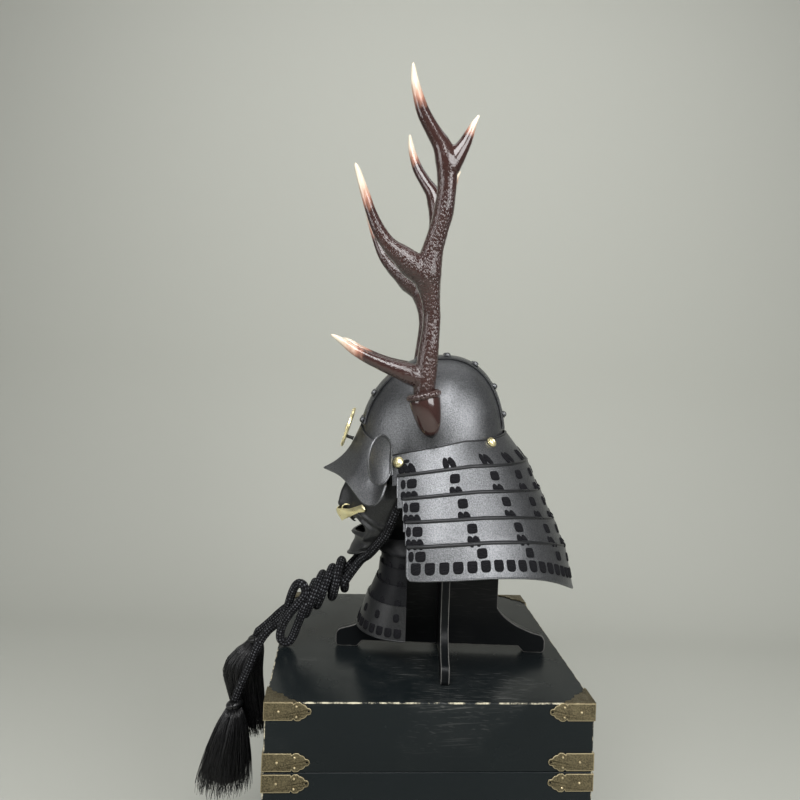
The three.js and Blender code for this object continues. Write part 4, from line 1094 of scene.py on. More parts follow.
petal_holes = []
for i in range(crest_petals):
    middle = 2 * math.pi * i / crest_petals
    half = math.pi / crest_petals - 0.12
    hole = []
    for k in range(13):
        share = k / 12
        swing = half * math.sin(math.pi * share * 0.5) if share < 1 else half
        hole.append((mix(0.34, 0.8, share) * crest_radius, middle - swing))
    for k in range(1, 8):
        outer = crest_radius * (0.8 + 0.07 * math.sin(math.pi * k / 8))
        hole.append((outer, middle - half + 2 * half * k / 8))
    for k in range(13):
        share = 1 - k / 12
        hole.append((mix(0.34, 0.8, share) * crest_radius, middle + half * math.sin(math.pi * share * 0.5)))
    petal_holes.append([(r * math.cos(turn), r * math.sin(turn)) for r, turn in hole[1:-1]])
crest_round = arc(0, 0, crest_radius, 0, 357, 119)
crest = outline_piece("crest_disc", crest_round, crest_thickness, crest_edge, petal_holes)
boss_profile = [(0.0085, 0), (0.0085, 0.0022), (0.007, 0.0036), (0.004, 0.0042), (0.0005, 0.0045)]
boss = profile_piece("boss", boss_profile, 32)
crest_parts = [crest, boss]
for i in range(crest_bead_count):
    turn = 2 * math.pi * i / crest_bead_count
    bead = profile_piece("bead", [(0.0011, 0), (0.001, 0.0022), (0.0006, 0.0027), (0.0001, 0.0028)], 8)
    on_disc = (crest_bead_ring * math.cos(turn), crest_bead_ring * math.sin(turn), 0)
    bead.data.transform(Matrix.Translation(on_disc))
    crest_parts.append(bead)
crest = joined("crest_disc", crest_parts)
seat = dome_point(math.pi, math.asin(visor_top / bowl_height), 0)
seat = Vector((0, seat.y - visor_wall - peg_ahead, peg_height))
away = peg_length + crest_thickness / 2 + 0.0003
crest_place = bowl_centre + seat + Vector((
    0,
    -away * math.cos(crest_tilt) + crest_above_peg * math.sin(crest_tilt),
    away * math.sin(crest_tilt) + crest_above_peg * math.cos(crest_tilt),
))
crest.data.transform(Matrix.Translation(crest_place) @ Matrix.Rotation(math.pi / 2 - crest_tilt, 4, "X"))
dress(crest, gold, "gold", "crest_plate")
peg_out = Vector((0, -math.cos(crest_tilt), math.sin(crest_tilt)))
peg = [Vector((*(bowl_centre + seat + peg_out * peg_length * share), reach))
       for share, reach in ((0, 0.0034), (0.15, 0.0027), (0.85, 0.0024), (1, 0.003))]
peg_piece = tube("crest_stem", peg, 16)[0]
# The stem takes the darker iron as painted shade.
dress(peg_piece, painted_shade_iron, "black_iron", "crest_peg")


# Antlers: carved wood, lacquered glossy red-brown and pearled, with ivory tips. Each stands on
# a smooth foot with a dark point, above which a beaded burr goes round it.
antler_rise = 0.45
antler_reach = 0.15
antler_spread = 0.054
beam_radius = 0.014
foot_out = 0.109
foot_ahead = 0.0205
foot_up = 0.0277
foot_length = 0.059
foot_lean = math.radians(13.5)
burr_radius = 0.0198
burr_steps = 120
horn_voxel = 0.0014
limb_rows = {
    "beam": [
        (0, 0, 0, 1.1), (0.06, 0.011, 0.03, 1.1), (0.118, 0.023, 0.06, 1.04), (0.167, 0.036, 0.09, 0.98),
        (0.234, 0.047, 0.13, 0.86), (0.28, 0.037, 0.17, 0.9), (0.32, 0.018, 0.2, 1.08),
        (0.37, -0.01, 0.26, 1.4), (0.433, 0.021, 0.33, 1.12), (0.496, 0.068, 0.4, 0.97),
        (0.556, 0.111, 0.48, 0.98), (0.62, 0.133, 0.56, 0.94), (0.67, 0.13, 0.62, 1),
        (0.71, 0.118, 0.67, 1.1), (0.75, 0.075, 0.71, 0.94), (0.79, -0.007, 0.77, 0.76), (0.842, -0.102, 0.84, 0.66),
        (0.898, -0.164, 0.91, 0.51), (0.934, -0.193, 0.95, 0.4), (0.975, -0.21, 0.99, 0.2),
        (0.984, -0.213, 1, 0.08)],
    "brow_tine": [
        (0.05, -0.02, 0.02, 1.05), (0.066, -0.137, 0.04, 1.1), (0.08, -0.268, 0.06, 0.87),
        (0.095, -0.403, 0.07, 0.72), (0.115, -0.548, 0.09, 0.62), (0.138, -0.679, 0.11, 0.49),
        (0.164, -0.792, 0.13, 0.32), (0.177, -0.866, 0.15, 0.17), (0.18, -0.881, 0.15, 0.07)],
    "front_tine": [
        (0.36, -0.03, 0.26, 1.1), (0.396, -0.147, 0.28, 1.32), (0.42, -0.231, 0.3, 1.16),
        (0.455, -0.362, 0.34, 0.8), (0.494, -0.458, 0.38, 0.7), (0.549, -0.539, 0.42, 0.54),
        (0.609, -0.605, 0.46, 0.46), (0.675, -0.675, 0.5, 0.3), (0.693, -0.697, 0.52, 0.17),
        (0.698, -0.703, 0.52, 0.07)],
    "rear_tine": [
        (0.69, 0.15, 0.63, 1.05), (0.725, 0.21, 0.67, 0.9), (0.758, 0.271, 0.71, 0.66),
        (0.793, 0.319, 0.76, 0.46), (0.817, 0.349, 0.8, 0.31), (0.838, 0.385, 0.83, 0.17),
        (0.843, 0.394, 0.84, 0.07)],
}
tip_lengths = {"beam": 0.055, "brow_tine": 0.05, "front_tine": 0.06, "rear_tine": 0.03}
antler_base = Vector((foot_out, -foot_ahead, foot_up))
burr_up = Vector((0, -math.sin(foot_lean), math.cos(foot_lean)))
burr_place = bowl_centre + antler_base + burr_up * foot_length


def limb_route(rows):
    points = []
    for up, back, out, reach in rows:
        place = burr_place + Vector((out * antler_spread, back * antler_reach, up * antler_rise))
        points.append((*(place * 1000), reach * beam_radius * 1000))
    return smooth_route(points, 0.003)


antler_red, red_tree, red_shader = new_material("antler_lacquer", (0.04, 0.018, 0.015), 0.16)
tip_share = red_tree.nodes.new("ShaderNodeAttribute")
tip_share.attribute_name = "tip"
tip_noise = noise_of(red_tree, 160, 4, (1, 1, 0.25))
tip_ragged = math_node(red_tree, "MULTIPLY", tip_noise, 0.25)
tip_edge = math_node(red_tree, "ADD", tip_share.outputs["Fac"], tip_ragged)
tip_mask = spread_value(red_tree, tip_edge, 0.55, 0.72)
wood_tone = mix_color(red_tree, noise_of(red_tree, 25, 4), (0.02, 0.0085, 0.0072, 1),
                      (0.05, 0.021, 0.0175, 1))
ivory_tone = mix_color(red_tree, tip_noise, (0.6, 0.5, 0.36, 1), (0.78, 0.7, 0.58, 1))
peach_end = spread_value(red_tree, tip_edge, 0.68, 0.92)
ivory_tone = mix_color(red_tree, peach_end, (0.42, 0.2, 0.14, 1), ivory_tone)
point_share = red_tree.nodes.new("ShaderNodeAttribute")
point_share.attribute_name = "point"
dark_point = mix_color(red_tree, point_share.outputs["Fac"], wood_tone, (0.004, 0.004, 0.004, 1))
red_tree.links.new(mix_color(red_tree, tip_mask, dark_point, ivory_tone), red_shader.inputs["Base Color"])
pearls = red_tree.nodes.new("ShaderNodeTexVoronoi")
pearls.inputs["Scale"].default_value = 300
pearl_place = red_tree.nodes.new("ShaderNodeTexCoord")
pearl_spread = red_tree.nodes.new("ShaderNodeMapping")
pearl_spread.inputs["Scale"].default_value = (1, 1, 0.75)
red_tree.links.new(pearl_place.outputs["Object"], pearl_spread.inputs["Vector"])
red_tree.links.new(pearl_spread.outputs["Vector"], pearls.inputs["Vector"])
pearled = red_tree.nodes.new("ShaderNodeAttribute")
pearled.attribute_name = "pearled"
pearl_rise = math_node(red_tree, "SUBTRACT", 1.0, pearls.outputs["Distance"])
pearl_height = math_node(red_tree, "MULTIPLY", pearl_rise, pearled.outputs["Fac"])
bump(red_tree, red_shader, pearl_height, 0.0026, 0.75)
red_shader.inputs["Coat Weight"].default_value = 0.6
red_shader.inputs["Coat Roughness"].default_value = 0.07


def mark(piece, name, value_at):
    layer = piece.data.attributes.new(name, "FLOAT", "POINT")
    for corner in piece.data.vertices:
        layer.data[corner.index].value = value_at(corner.co)


limb_tubes = []
tips = []
for name, rows in limb_rows.items():
    route = limb_route(rows)
    limb_tubes.append(tube(name, route, 20)[0])
    tips.append((route[-1].to_3d(), tip_lengths[name]))
antler = joined("antler_horn", limb_tubes)
apply(antler, "REMESH", mode="VOXEL", voxel_size=horn_voxel)
apply(antler, "SMOOTH", factor=0.6, iterations=6)
normals = [corner.normal.copy() for corner in antler.data.vertices]
for corner, out in zip(antler.data.vertices, normals):
    place = corner.co
    away = min((place - tip).length for tip, _ in tips)
    rough = min(max((away - 0.06) / 0.1, 0), 1)
    ripple = noise.noise(Vector((place.x * 90, place.y * 90, place.z * 35)))
    pearl = noise.noise(Vector((place.x * 330, place.y * 330, place.z * 200)))
    corner.co = place + out * rough * (0.0007 * ripple + 0.0003 * pearl)
foot_profile = [(0.0006, -0.0018), (0.0035, -0.0002), (0.0066, 0.002), (0.0102, 0.0065),
                (0.0133, 0.0118), (0.0162, 0.02), (0.0183, 0.0295), (0.0199, 0.04), (0.0208, 0.05),
                (0.0204, 0.055), (0.0183, 0.0605)]
foot = profile_piece("foot", foot_profile, 40)
lean_matrix = Matrix.Translation(bowl_centre + antler_base) @ Matrix.Rotation(foot_lean, 4, "X")
foot.data.transform(lean_matrix @ Matrix.Diagonal((1.05, 1.05, 1, 1)))
burr_route = []
for k in range(burr_steps + 1):
    turn = 2 * math.pi * k / burr_steps
    swell = 0.0036 + 0.0014 * abs(math.sin(turn * 12))
    burr_route.append(Vector((burr_radius * math.cos(turn), burr_radius * math.sin(turn),
                              foot_length + 0.0012 * math.sin(turn * 24), swell)))
burr = tube("burr", burr_route, 14)[0]
burr.data.transform(lean_matrix)
antler = joined("antler_horn_left", [antler, foot, burr])


def tip_at(place):
    return max(1 - (place - tip).length / (2 * reach) for tip, reach in tips)


def pearled_at(place):
    above = (place - burr_place).dot(burr_up)
    near_tip = min((place - tip).length for tip, _ in tips)
    return min(max((above - 0.002) / 0.01, 0), 1) * min(max((near_tip - 0.05) / 0.12, 0.05), 1)


def point_at(place):
    above = (place - bowl_centre - antler_base).dot(burr_up)
    return min(max((0.006 - above) / 0.003, 0), 1)


mark(antler, "tip", tip_at)
mark(antler, "point", point_at)
mark(antler, "pearled", pearled_at)
select_only(antler)
bpy.ops.object.shade_smooth()
mirrored = copied(antler, Matrix.Scale(-1, 4, (1, 0, 0)))
mirrored.name = "antler_horn_right"
edit(mirrored)
bpy.ops.mesh.flip_normals()
bpy.ops.object.mode_set(mode="OBJECT")
dress(antler, antler_red, "antler", "antler_left")
dress(mirrored, antler_red, "antler", "antler_right")
discard(patch_form)


# Half mask: iron raised into nose, cheeks, lips and chin, lacquered satin black. The nose has
# gilt rings round the nostrils, a painted highlight on their rims, and the mouth is open.
mask_half_width = 0.074
mask_depth = 0.076
mask_height = 0.116
mask_front = 0.147
mask_top = 0.658
mask_wall = 0.0025
nose_length = 0.017
mouth_half_width = 0.041
mouth_half_height = 0.0074
mouth_corner = (0.015, 0.0155)
mouth_height = mask_top - 0.072
mask_rows = [
    {"at": 0, "ahead": 1.02, "drop": 0.026, "nose": 0.15, "side": 0.946, "back": 0.96, "rear_drop": -0.034},
    {"at": 0.1, "ahead": 1.007, "drop": 0.108, "nose": 0.5, "side": 0.975, "back": 0.96, "rear_drop": 0.03},
    {"at": 0.2, "ahead": 0.993, "drop": 0.19, "nose": 0.85, "side": 0.99, "back": 0.96, "rear_drop": 0.09},
    {"at": 0.3, "ahead": 0.992, "drop": 0.285, "nose": 1, "side": 1, "back": 0.96, "rear_drop": 0.155},
    {"at": 0.42, "ahead": 0.993, "drop": 0.379, "nose": 1, "side": 0.94, "back": 0.89, "rear_drop": 0.3},
    {"at": 0.5, "ahead": 1, "drop": 0.448, "nose": 0.1, "side": 0.88, "back": 0.83, "rear_drop": 0.396},
    {"at": 0.62, "ahead": 0.945, "drop": 0.586, "nose": 0, "side": 0.79, "back": 0.75, "rear_drop": 0.54},
    {"at": 0.75, "ahead": 0.939, "drop": 0.724, "nose": 0, "side": 0.69, "back": 0.64, "rear_drop": 0.67},
    {"at": 0.82, "ahead": 0.93, "drop": 0.793, "nose": 0, "side": 0.63, "back": 0.585, "rear_drop": 0.745},
    {"at": 0.9, "ahead": 0.964, "drop": 0.888, "nose": 0, "side": 0.54, "back": 0.5, "rear_drop": 0.815},
    {"at": 1, "ahead": 0.995, "drop": 1, "nose": 0, "side": 0.432, "back": 0.42, "rear_drop": 0.9},
]


def mask_row(v):
    i = next((n for n in range(1, len(mask_rows)) if mask_rows[n]["at"] >= v - 1e-6), len(mask_rows) - 1)
    a = mask_rows[i - 1]
    b = mask_rows[i]
    before = mask_rows[max(i - 2, 0)]
    after = mask_rows[min(i + 1, len(mask_rows) - 1)]
    span = b["at"] - a["at"]
    share = (v - a["at"]) / span
    value = {}
    for key in a:
        leave = span * (b[key] - before[key]) / (b["at"] - before["at"])
        arrive = span * (after[key] - a[key]) / (after["at"] - a["at"])
        rise = share * share * (3 - 2 * share)
        value[key] = mix(a[key], b[key], rise) + share * (1 - share) * ((1 - share) * leave - share * arrive)
    return {
        "ahead": value["ahead"] * mask_front,
        "height": mask_top - value["drop"] * mask_height,
        "nose": value["nose"] * nose_length,
        "side": value["side"] * mask_half_width,
        "rear": -mask_front + value["back"] * mask_depth,
        "rear_height": mask_top - value["rear_drop"] * mask_height,
    }


def mask_point(turn, v, grow):
    row = mask_row(v)
    blend = max(1 - math.cos(turn), 0) ** 0.75
    across = row["side"] * math.sin(turn)
    nose = row["nose"] * math.exp(-((across / 0.01) ** 2))
    lean = math.atan2(across, row["ahead"] * max(math.cos(turn), 0) * 0.6 + 0.001)
    return Vector((
        across + grow * math.sin(lean),
        mix(-row["ahead"], row["rear"], blend) - nose - grow * math.cos(lean),
        mix(row["height"], row["rear_height"], blend),
    ))


# Relief over the mask's own form: lips round the mouth and two folds in each cheek.
def mask_relief(across, height):
    above = height - mouth_height
    ahead = max(1 - (across / mouth_half_width) ** 2, 0)
    lips = 0.0042 * ahead * math.exp(-((abs(above) - mouth_half_height - 0.003) / 0.0032) ** 2)
    ring = math.hypot(across / (mouth_half_width + 0.008), above / 0.021)
    fold = 0.0042 * math.exp(-((ring - 1.0) / 0.11) ** 2) * min(abs(across) / 0.04, 1) ** 6
    outer = math.hypot(across / (mouth_half_width + 0.019), above / 0.034)
    second = 0.0026 * math.exp(-((outer - 1.0) / 0.07) ** 2) * min(abs(across) / 0.036, 1) ** 4
    return lips + fold + second


def mask_place(u, v):
    side = u * 2 - 1
    turn = abs(side) ** 1.25 * math.pi / 2
    flat = mask_point(turn, v, 0)
    place = mask_point(turn, v, mask_relief(flat.x, flat.z))
    place.x *= -1 if side < 0 else 1
    return place


mask_centre = Vector((0, -0.05, 0.62))
mask = sheet("face_mask_shell", 132, 96, mask_place, mask_wall, centre=mask_centre, degrees=60)
mouth_depth = 0.12
mouth_cuts = [(0, mouth_half_width, mouth_half_height), (1, *mouth_corner), (-1, *mouth_corner)]
for aside, half_wide, half_tall in mouth_cuts:
    select_only()
    middle = aside * (mouth_half_width - half_wide)
    bpy.ops.mesh.primitive_cylinder_add(vertices=56, radius=1, depth=1, rotation=(math.pi / 2, 0, 0),
                                        location=(middle, -0.15, mouth_height))
    mouth = bpy.context.object
    mouth.data.transform(mouth.matrix_world @ Matrix.Diagonal((half_wide, half_tall, mouth_depth, 1)))
    mouth.matrix_world = Matrix.Identity(4)
    apply(mask, "BOOLEAN", operation="DIFFERENCE", object=mouth, solver="EXACT")
    discard(mouth)
mask_rim = tube("mask_rim", [mask_place(i / 120, 0.995) for i in range(121)], 10, 0.0019)[0]
mask = joined("face_mask_shell", [mask, mask_rim])
dress(mask, mask_iron, "black_iron", "mask")
# Gold wire rings at the nostrils stand for the highlight on their rims: a painted highlight.
nostril_half = (0.0072, 0.0048)
nostril_wire = 0.0011
nostril_glint_rings = []
for side in (1, -1):
    ring = []
    for k in range(25):
        turn = 2 * math.pi * k / 24
        reach = Vector((0.0005, nostril_half[0] * math.cos(turn), nostril_half[1] * math.sin(turn)))
        place = mask_point(0.16, 0.43, 0.0012) + reach
        ring.append(Vector((side * (abs(place.x) + 0.0006), place.y, place.z)))
    nostril_glint_rings.append(tube("nostril", ring, 8, nostril_wire)[0])
nostril_glint_rings = joined("gilt_nostril_glints", nostril_glint_rings)
dress(nostril_glint_rings, gold, "gold")


# Lip plate: polished gold sheet, bent round the upper lip and standing out below the nose.
lip_wall = 0.0016
lip_rows = [(0, 0.47, 0.62, 0.019, 0.0185), (19, 0.43, 0.535, 0.007, 0.004), (31, 0.37, 0.49, 0.0026, 0.0026),
            (38, 0.34, 0.455, 0.0021, 0.0021), (46, 0.4, 0.44, 0.0021, 0.0021)]


def lip_place(u, v):
    side = u * 2 - 1
    want = abs(side) * (len(lip_rows) - 1)
    low = min(int(want), len(lip_rows) - 2)
    share = want - low
    row = [mix(a, b, share) for a, b in zip(lip_rows[low], lip_rows[low + 1])]
    down = mix(row[1], row[2], v)
    out = mix(row[3], row[4], v) + 0.0012 * math.sin(v * math.pi)
    centre = mask_point(0, down, 0)
    flat = Vector((0, centre.y + mask_row(down)["nose"] - out, centre.z))
    beside = mask_point(math.radians(max(row[0], 0.01)), down, out)
    weight = min(abs(row[0]) / 12, 1)
    place = flat.lerp(beside, weight)
    place.x = beside.x * (-1 if side < 0 else 1)
    return place


lip = sheet("gilt_lip", 48, 10, lip_place, lip_wall, centre=mask_centre)
dress(lip, gold, "gold", "lip_plate")


# Throat guard: a neck piece and four iron lames, laced to hang one below the other under the
# mask. The lower ones flare out over the chest. All but the lowest lame take a much darker iron,
# as painted shade under the mask.
throat_half_width = 0.078
throat_reach = 0.073
throat_height = 0.14
throat_rear = -0.056
throat_foot_drop = 0.105
throat_foot = mask_top - mask_height - throat_foot_drop
throat_wall = 0.0018
throat_patch_half = (0.0045, 0.006)
throat_hem_half = (0.0055, 0.0065)
throat_hem_pitch = 11.6
throat_rows = {
    "neck_piece": (0.98, 0.54, 1.09, 0.83, 0.725, 0.59),
    "throat_lame_1": (0.85, 0.668, 0.54, 0.65, 0.744, 0.522),
    "throat_lame_2": (0.7, 0.776, 0.56, 0.48, 0.81, 0.594),
    "throat_lame_3": (0.53, 0.832, 0.622, 0.293, 0.897, 0.797),
    "throat_lame_4": (0.343, 0.915, 0.797, 0, 1, 1),
}


def throat_point(row, level, turn, grow):
    top, top_side, top_ahead, bottom, low_side, low_ahead = row
    side = mix(top_side, low_side, level) * throat_half_width + grow
    ahead = mix(top_ahead, low_ahead, level) * throat_reach + grow
    return Vector((side * math.sin(turn), throat_rear - ahead * math.cos(turn),
                   throat_foot + mix(top, bottom, level) * throat_height))


throat_patches = []
patch_form = profile_piece("patch_form", patch_profile, patch_sides)
for name, row in throat_rows.items():
    plate = sheet(f"{name}_plate", 64, 6, lambda u, v: throat_point(row, v, (u - 0.5) * math.pi, 0),
                  throat_wall, centre=Vector((0, throat_rear, 0.5)))
    low = [throat_point(row, 0.99, math.pi * (i / 64 - 0.5), -0.0004) for i in range(65)]
    parts = [plate, tube("rim", low, 10, 0.0014)[0]]
    for side in (-1, 1):
        end = [throat_point(row, 0.03 + 0.96 * k / 8, side * math.pi / 2, -0.0007) for k in range(9)]
        parts.append(tube("rim", end, 10, 0.0013)[0])
    plate = joined(f"{name}_plate", parts)
    # The neck piece and upper lames take the darker iron as painted shade; the lowest takes the mask's iron.
    dress(plate, mask_iron if name == "throat_lame_4" else shaded_throat_iron, "black_iron", name)
    if name == "neck_piece":
        continue
    for side in (1, -1):
        for degrees in (22, 50, 78):
            level = 0.72 if name != "throat_lame_4" else 0.34
            throat_patches.append(patch(lambda a, b, c: throat_point(row, a, b, c), level,
                                        side * math.radians(degrees), *throat_patch_half, power=2.6))
row = throat_rows["throat_lame_4"]
for i in range(-7, 8):
    throat_patches.append(patch(lambda a, b, c: throat_point(row, a, b, c), 0.78,
                                i * math.radians(throat_hem_pitch), *throat_hem_half,
                                power=3.0, flat_top=True))
throat_lacing = joined("throat_lacing", throat_patches)
dress(throat_lacing, lacing, "cord")
discard(patch_form)


# Stand: two boards of painted wood that cross in a half lap. Each has a foot with rounded toes,
# a post, and a top cut to the inside of the bowl. The paint is worn along the edges.
board_thickness = 0.012
board_edge = 0.0012
post_half = 0.086
foot_height = 0.066
toe_height = 0.028
foot_arch = 0.009
foot_landing = 0.032
shoulder_step = 0.009
shoulder_height = 0.283
lap_height = 0.2
box_height = 0.4
seat_gap = 0.0003
sole_radius = 0.007
toe_radius = 0.012
crown_base = 0.308
crown_power = 2.2
board_worn = 0.0022


# Worn paint, as a group: rubbed edges, fine scuffs that gather in patches, and a thin haze. Scuffs
# are weaker below the box's lid.
worn_paint, given, result = effect_group(
    "worn_paint",
    (("Color", "Color"), ("Ground", "Color"), ("Wear From", "Float"), ("Wear To", "Float"),
     ("Roughness", "Float"), ("Scuffs", "Float")),
    (("Color", "Color"), ("Roughness", "Float"), ("Height", "Float")))
worn_edge = worn_paint.nodes.new("ShaderNodeAttribute")
worn_edge.attribute_name = "edge"
edge_chips = math_node(worn_paint, "MULTIPLY", noise_of(worn_paint, 70, 5), 0.55)
edge_crumbs = math_node(worn_paint, "MULTIPLY", noise_of(worn_paint, 380, 3), 0.2)
wear = math_node(worn_paint, "ADD", worn_edge.outputs["Fac"], edge_chips)
wear = math_node(worn_paint, "ADD", wear, edge_crumbs)
wear = spread_value(worn_paint, wear, given["Wear From"], given["Wear To"])
paint_place = worn_paint.nodes.new("ShaderNodeTexCoord")
scuffs = math_node(worn_paint, "MULTIPLY", noise_of(worn_paint, 26, 6, (2.5, 0.8, 2.5)), 0.3)
for lean, stretch in ((0.06, (230, 8, 230)), (-0.09, (260, 12, 260))):
    turned = worn_paint.nodes.new("ShaderNodeMapping")
    turned.vector_type = "TEXTURE"
    turned.inputs["Rotation"].default_value = (lean, 0.1, lean)
    turned.inputs["Scale"].default_value = [1 / size for size in stretch]
    worn_paint.links.new(paint_place.outputs["Object"], turned.inputs["Vector"])
    lines = worn_paint.nodes.new("ShaderNodeTexNoise")
    lines.inputs["Scale"].default_value = 2.0
    lines.inputs["Detail"].default_value = 1.0
    worn_paint.links.new(turned.outputs["Vector"], lines.inputs["Vector"])
    family = spread_value(worn_paint, lines.outputs["Fac"], 0.6, 0.72)
    scuffs = math_node(worn_paint, "MAXIMUM", family, scuffs)
scuff_patches = spread_value(worn_paint, noise_of(worn_paint, 7, 4), 0.5, 0.66, 0.06, 1.0)
scuffs = math_node(worn_paint, "MULTIPLY", scuffs, scuff_patches)
scuffs = math_node(worn_paint, "MULTIPLY", scuffs, given["Scuffs"])
paint_height = worn_paint.nodes.new("ShaderNodeSeparateXYZ")
worn_paint.links.new(paint_place.outputs["Object"], paint_height.inputs[0])
on_lid = spread_value(worn_paint, paint_height.outputs["Z"], 0.385, 0.399, 0.22, 1.0)
scuffs = math_node(worn_paint, "MULTIPLY", scuffs, on_lid)
paint_shade = mix_color(worn_paint, 0.36, given["Color"], black)
paint_tone = mix_color(worn_paint, noise_of(worn_paint, 6, 3), paint_shade, given["Color"])
paint_tone = mix_color(worn_paint, scuffs, paint_tone, (0.2, 0.2, 0.19, 1))
worn_paint.links.new(mix_color(worn_paint, wear, paint_tone, given["Ground"]), result["Color"])
paint_haze = math_node(worn_paint, "MULTIPLY", noise_of(worn_paint, 22, 4), 0.16)
paint_rough = math_node(worn_paint, "ADD", given["Roughness"], paint_haze)
worn_rough = math_node(worn_paint, "MULTIPLY", wear, 0.35)
paint_rough = math_node(worn_paint, "ADD", paint_rough, worn_rough)
worn_paint.links.new(paint_rough, result["Roughness"])
paint_grain = math_node(worn_paint, "MULTIPLY", noise_of(worn_paint, 700, 2), 0.15)
worn_depth = math_node(worn_paint, "MULTIPLY", wear, 0.5)
worn_paint.links.new(math_node(worn_paint, "SUBTRACT", paint_grain, worn_depth), result["Height"])


def paint_finish(name, color, ground, wear_from, wear_to, roughness, scuffed):
    material, tree, shader = new_material(name, color, roughness)
    values = {"Color": (*color, 1), "Ground": (*ground, 1), "Wear From": wear_from, "Wear To": wear_to,
              "Roughness": roughness, "Scuffs": scuffed}
    painted = place_group(tree, worn_paint, values)
    tree.links.new(painted["Color"], shader.inputs["Base Color"])
    tree.links.new(painted["Roughness"], shader.inputs["Roughness"])
    shader.inputs["Specular IOR Level"].default_value = 0.15
    bump(tree, shader, painted["Height"], 0.0004, 0.5)
    return material


stand_paint = paint_finish("stand_paint", (0.004375, 0.00525, 0.005875), (0.13, 0.127, 0.12),
                           0.8, 1.05, 0.28, 0.1)


def board_outline(foot_half, reach_front, reach_rear, centre_shift, slot):
    sole = foot_half - foot_landing
    side = [(sole - foot_arch, foot_arch), (sole, 0), (foot_half - sole_radius, 0)]
    side += arc(foot_half - sole_radius, sole_radius, sole_radius, -75, 0, 5)
    side += arc(foot_half - toe_radius, toe_height - toe_radius, toe_radius, 0, 84, 7)
    start = (foot_half - toe_radius, toe_height)
    waist = (mix(post_half, start[0], 0.45) - 0.012, mix(foot_height, toe_height, 0.7) + 0.002)
    for k in range(1, 12):
        share = k / 12
        weights = ((1 - share) ** 2, 2 * share * (1 - share), share ** 2)
        x = weights[0] * start[0] + weights[1] * waist[0] + weights[2] * post_half
        z = weights[0] * start[1] + weights[1] * waist[1] + weights[2] * foot_height
        side.append((x, z))
    side += [(post_half, foot_height), (post_half, shoulder_height)]
    side += [(post_half - shoulder_step, shoulder_height)]
    crown = []
    inner = bowl_height - bowl_wall - 2 * seat_gap
    for k in range(33):
        x = (post_half - shoulder_step) * (1 - k / 16)
        reach = (reach_rear if x - centre_shift > 0 else reach_front) - bowl_wall - 2 * seat_gap
        share = min(abs(x - centre_shift) / reach, 0.999)
        rise = (1 - share ** crown_power) ** (1 / crown_power)
        crown.append((x, crown_base - seat_gap + inner * rise))
    left = [(-x, z) for x, z in reversed(side)]
    slot_half = board_thickness / 2 + seat_gap
    if slot == "top":
        notch = [(slot_half, 1), (slot_half, lap_height), (-slot_half, lap_height), (-slot_half, 1)]
        high = [z for x, z in crown if x > slot_half][-1]
        notch = [(x, z if z < 1 else high) for x, z in notch]
        crown = [p for p in crown if p[0] > slot_half] + notch + [p for p in crown if p[0] < -slot_half]
        return side + crown + left + [(0, foot_arch)]
    foot_notch = [(-slot_half, foot_arch), (-slot_half, lap_height + seat_gap)]
    foot_notch += [(slot_half, lap_height + seat_gap), (slot_half, foot_arch)]
    return side + crown + left + foot_notch


def mark_edges(piece, outline, half_thickness, reach):
    def near_edge(place):
        inside = 1.0
        for (ax, ay), (bx, by) in zip(outline, outline[1:] + outline[:1]):
            span = math.hypot(bx - ax, by - ay) or 1e-9
            share = min(max(((place.x - ax) * (bx - ax) + (place.y - ay) * (by - ay)) / span ** 2, 0), 1)
            away = math.hypot(place.x - mix(ax, bx, share), place.y - mix(ay, by, share))
            inside = min(inside, away / reach)
        from_face = (half_thickness - abs(place.z)) / reach
        return 1 - min(max(inside, from_face), 1)
    mark(piece, "edge", near_edge)


boards = {"side": (0.16, bowl_front, bowl_rear, bowl_centre.y, "top"),
          "cross": (0.134, bowl_half_width, bowl_half_width, 0, "foot")}
for name, (foot_half, front, rear, shift, slot) in boards.items():
    outline = board_outline(foot_half, front, rear, shift, slot)
    board = outline_piece(f"board_{name}", outline, board_thickness, board_edge)
    for chosen in (lambda face: abs(face.normal.z) > 0.99, lambda face: abs(face.normal.z) < 0.01):
        select_faces(board, chosen)
        bpy.ops.mesh.inset(thickness=board_worn, depth=0)
        leave_edit(board, 35)
    mark_edges(board, outline, board_thickness / 2, board_worn)
    upright = Matrix.Rotation(math.pi / 2, 4, "X")
    turned_to = Matrix.Rotation(math.pi / 2, 4, "Z") if name == "side" else Matrix.Identity(4)
    board.data.transform(Matrix.Translation((0, 0, box_height + seat_gap)) @ turned_to @ upright)
    dress(board, stand_paint, "stand_wood", f"stand_board_{name}")


# Armour box: wooden body and lid, black lacquer gone dull and scratched, and rubbed to the pale
# ground along its edges.
box_width = 0.43
lid_height = 0.09
box_wall = 0.012
lip_height = 0.014
lip_inner = 0.008
box_bevel = 0.0014
worn_reach = 0.0034
box_turn = math.radians(4)
box_aside = -0.033
box_ahead = -0.034
box_matrix = Matrix.Translation((box_aside, box_ahead, 0)) @ Matrix.Rotation(box_turn, 4, "Z")
lacquer = paint_finish("box_lacquer", (0.0075, 0.010625, 0.011875), (0.5, 0.46, 0.34),
                       1.34, 1.43, 0.17, 0.4)


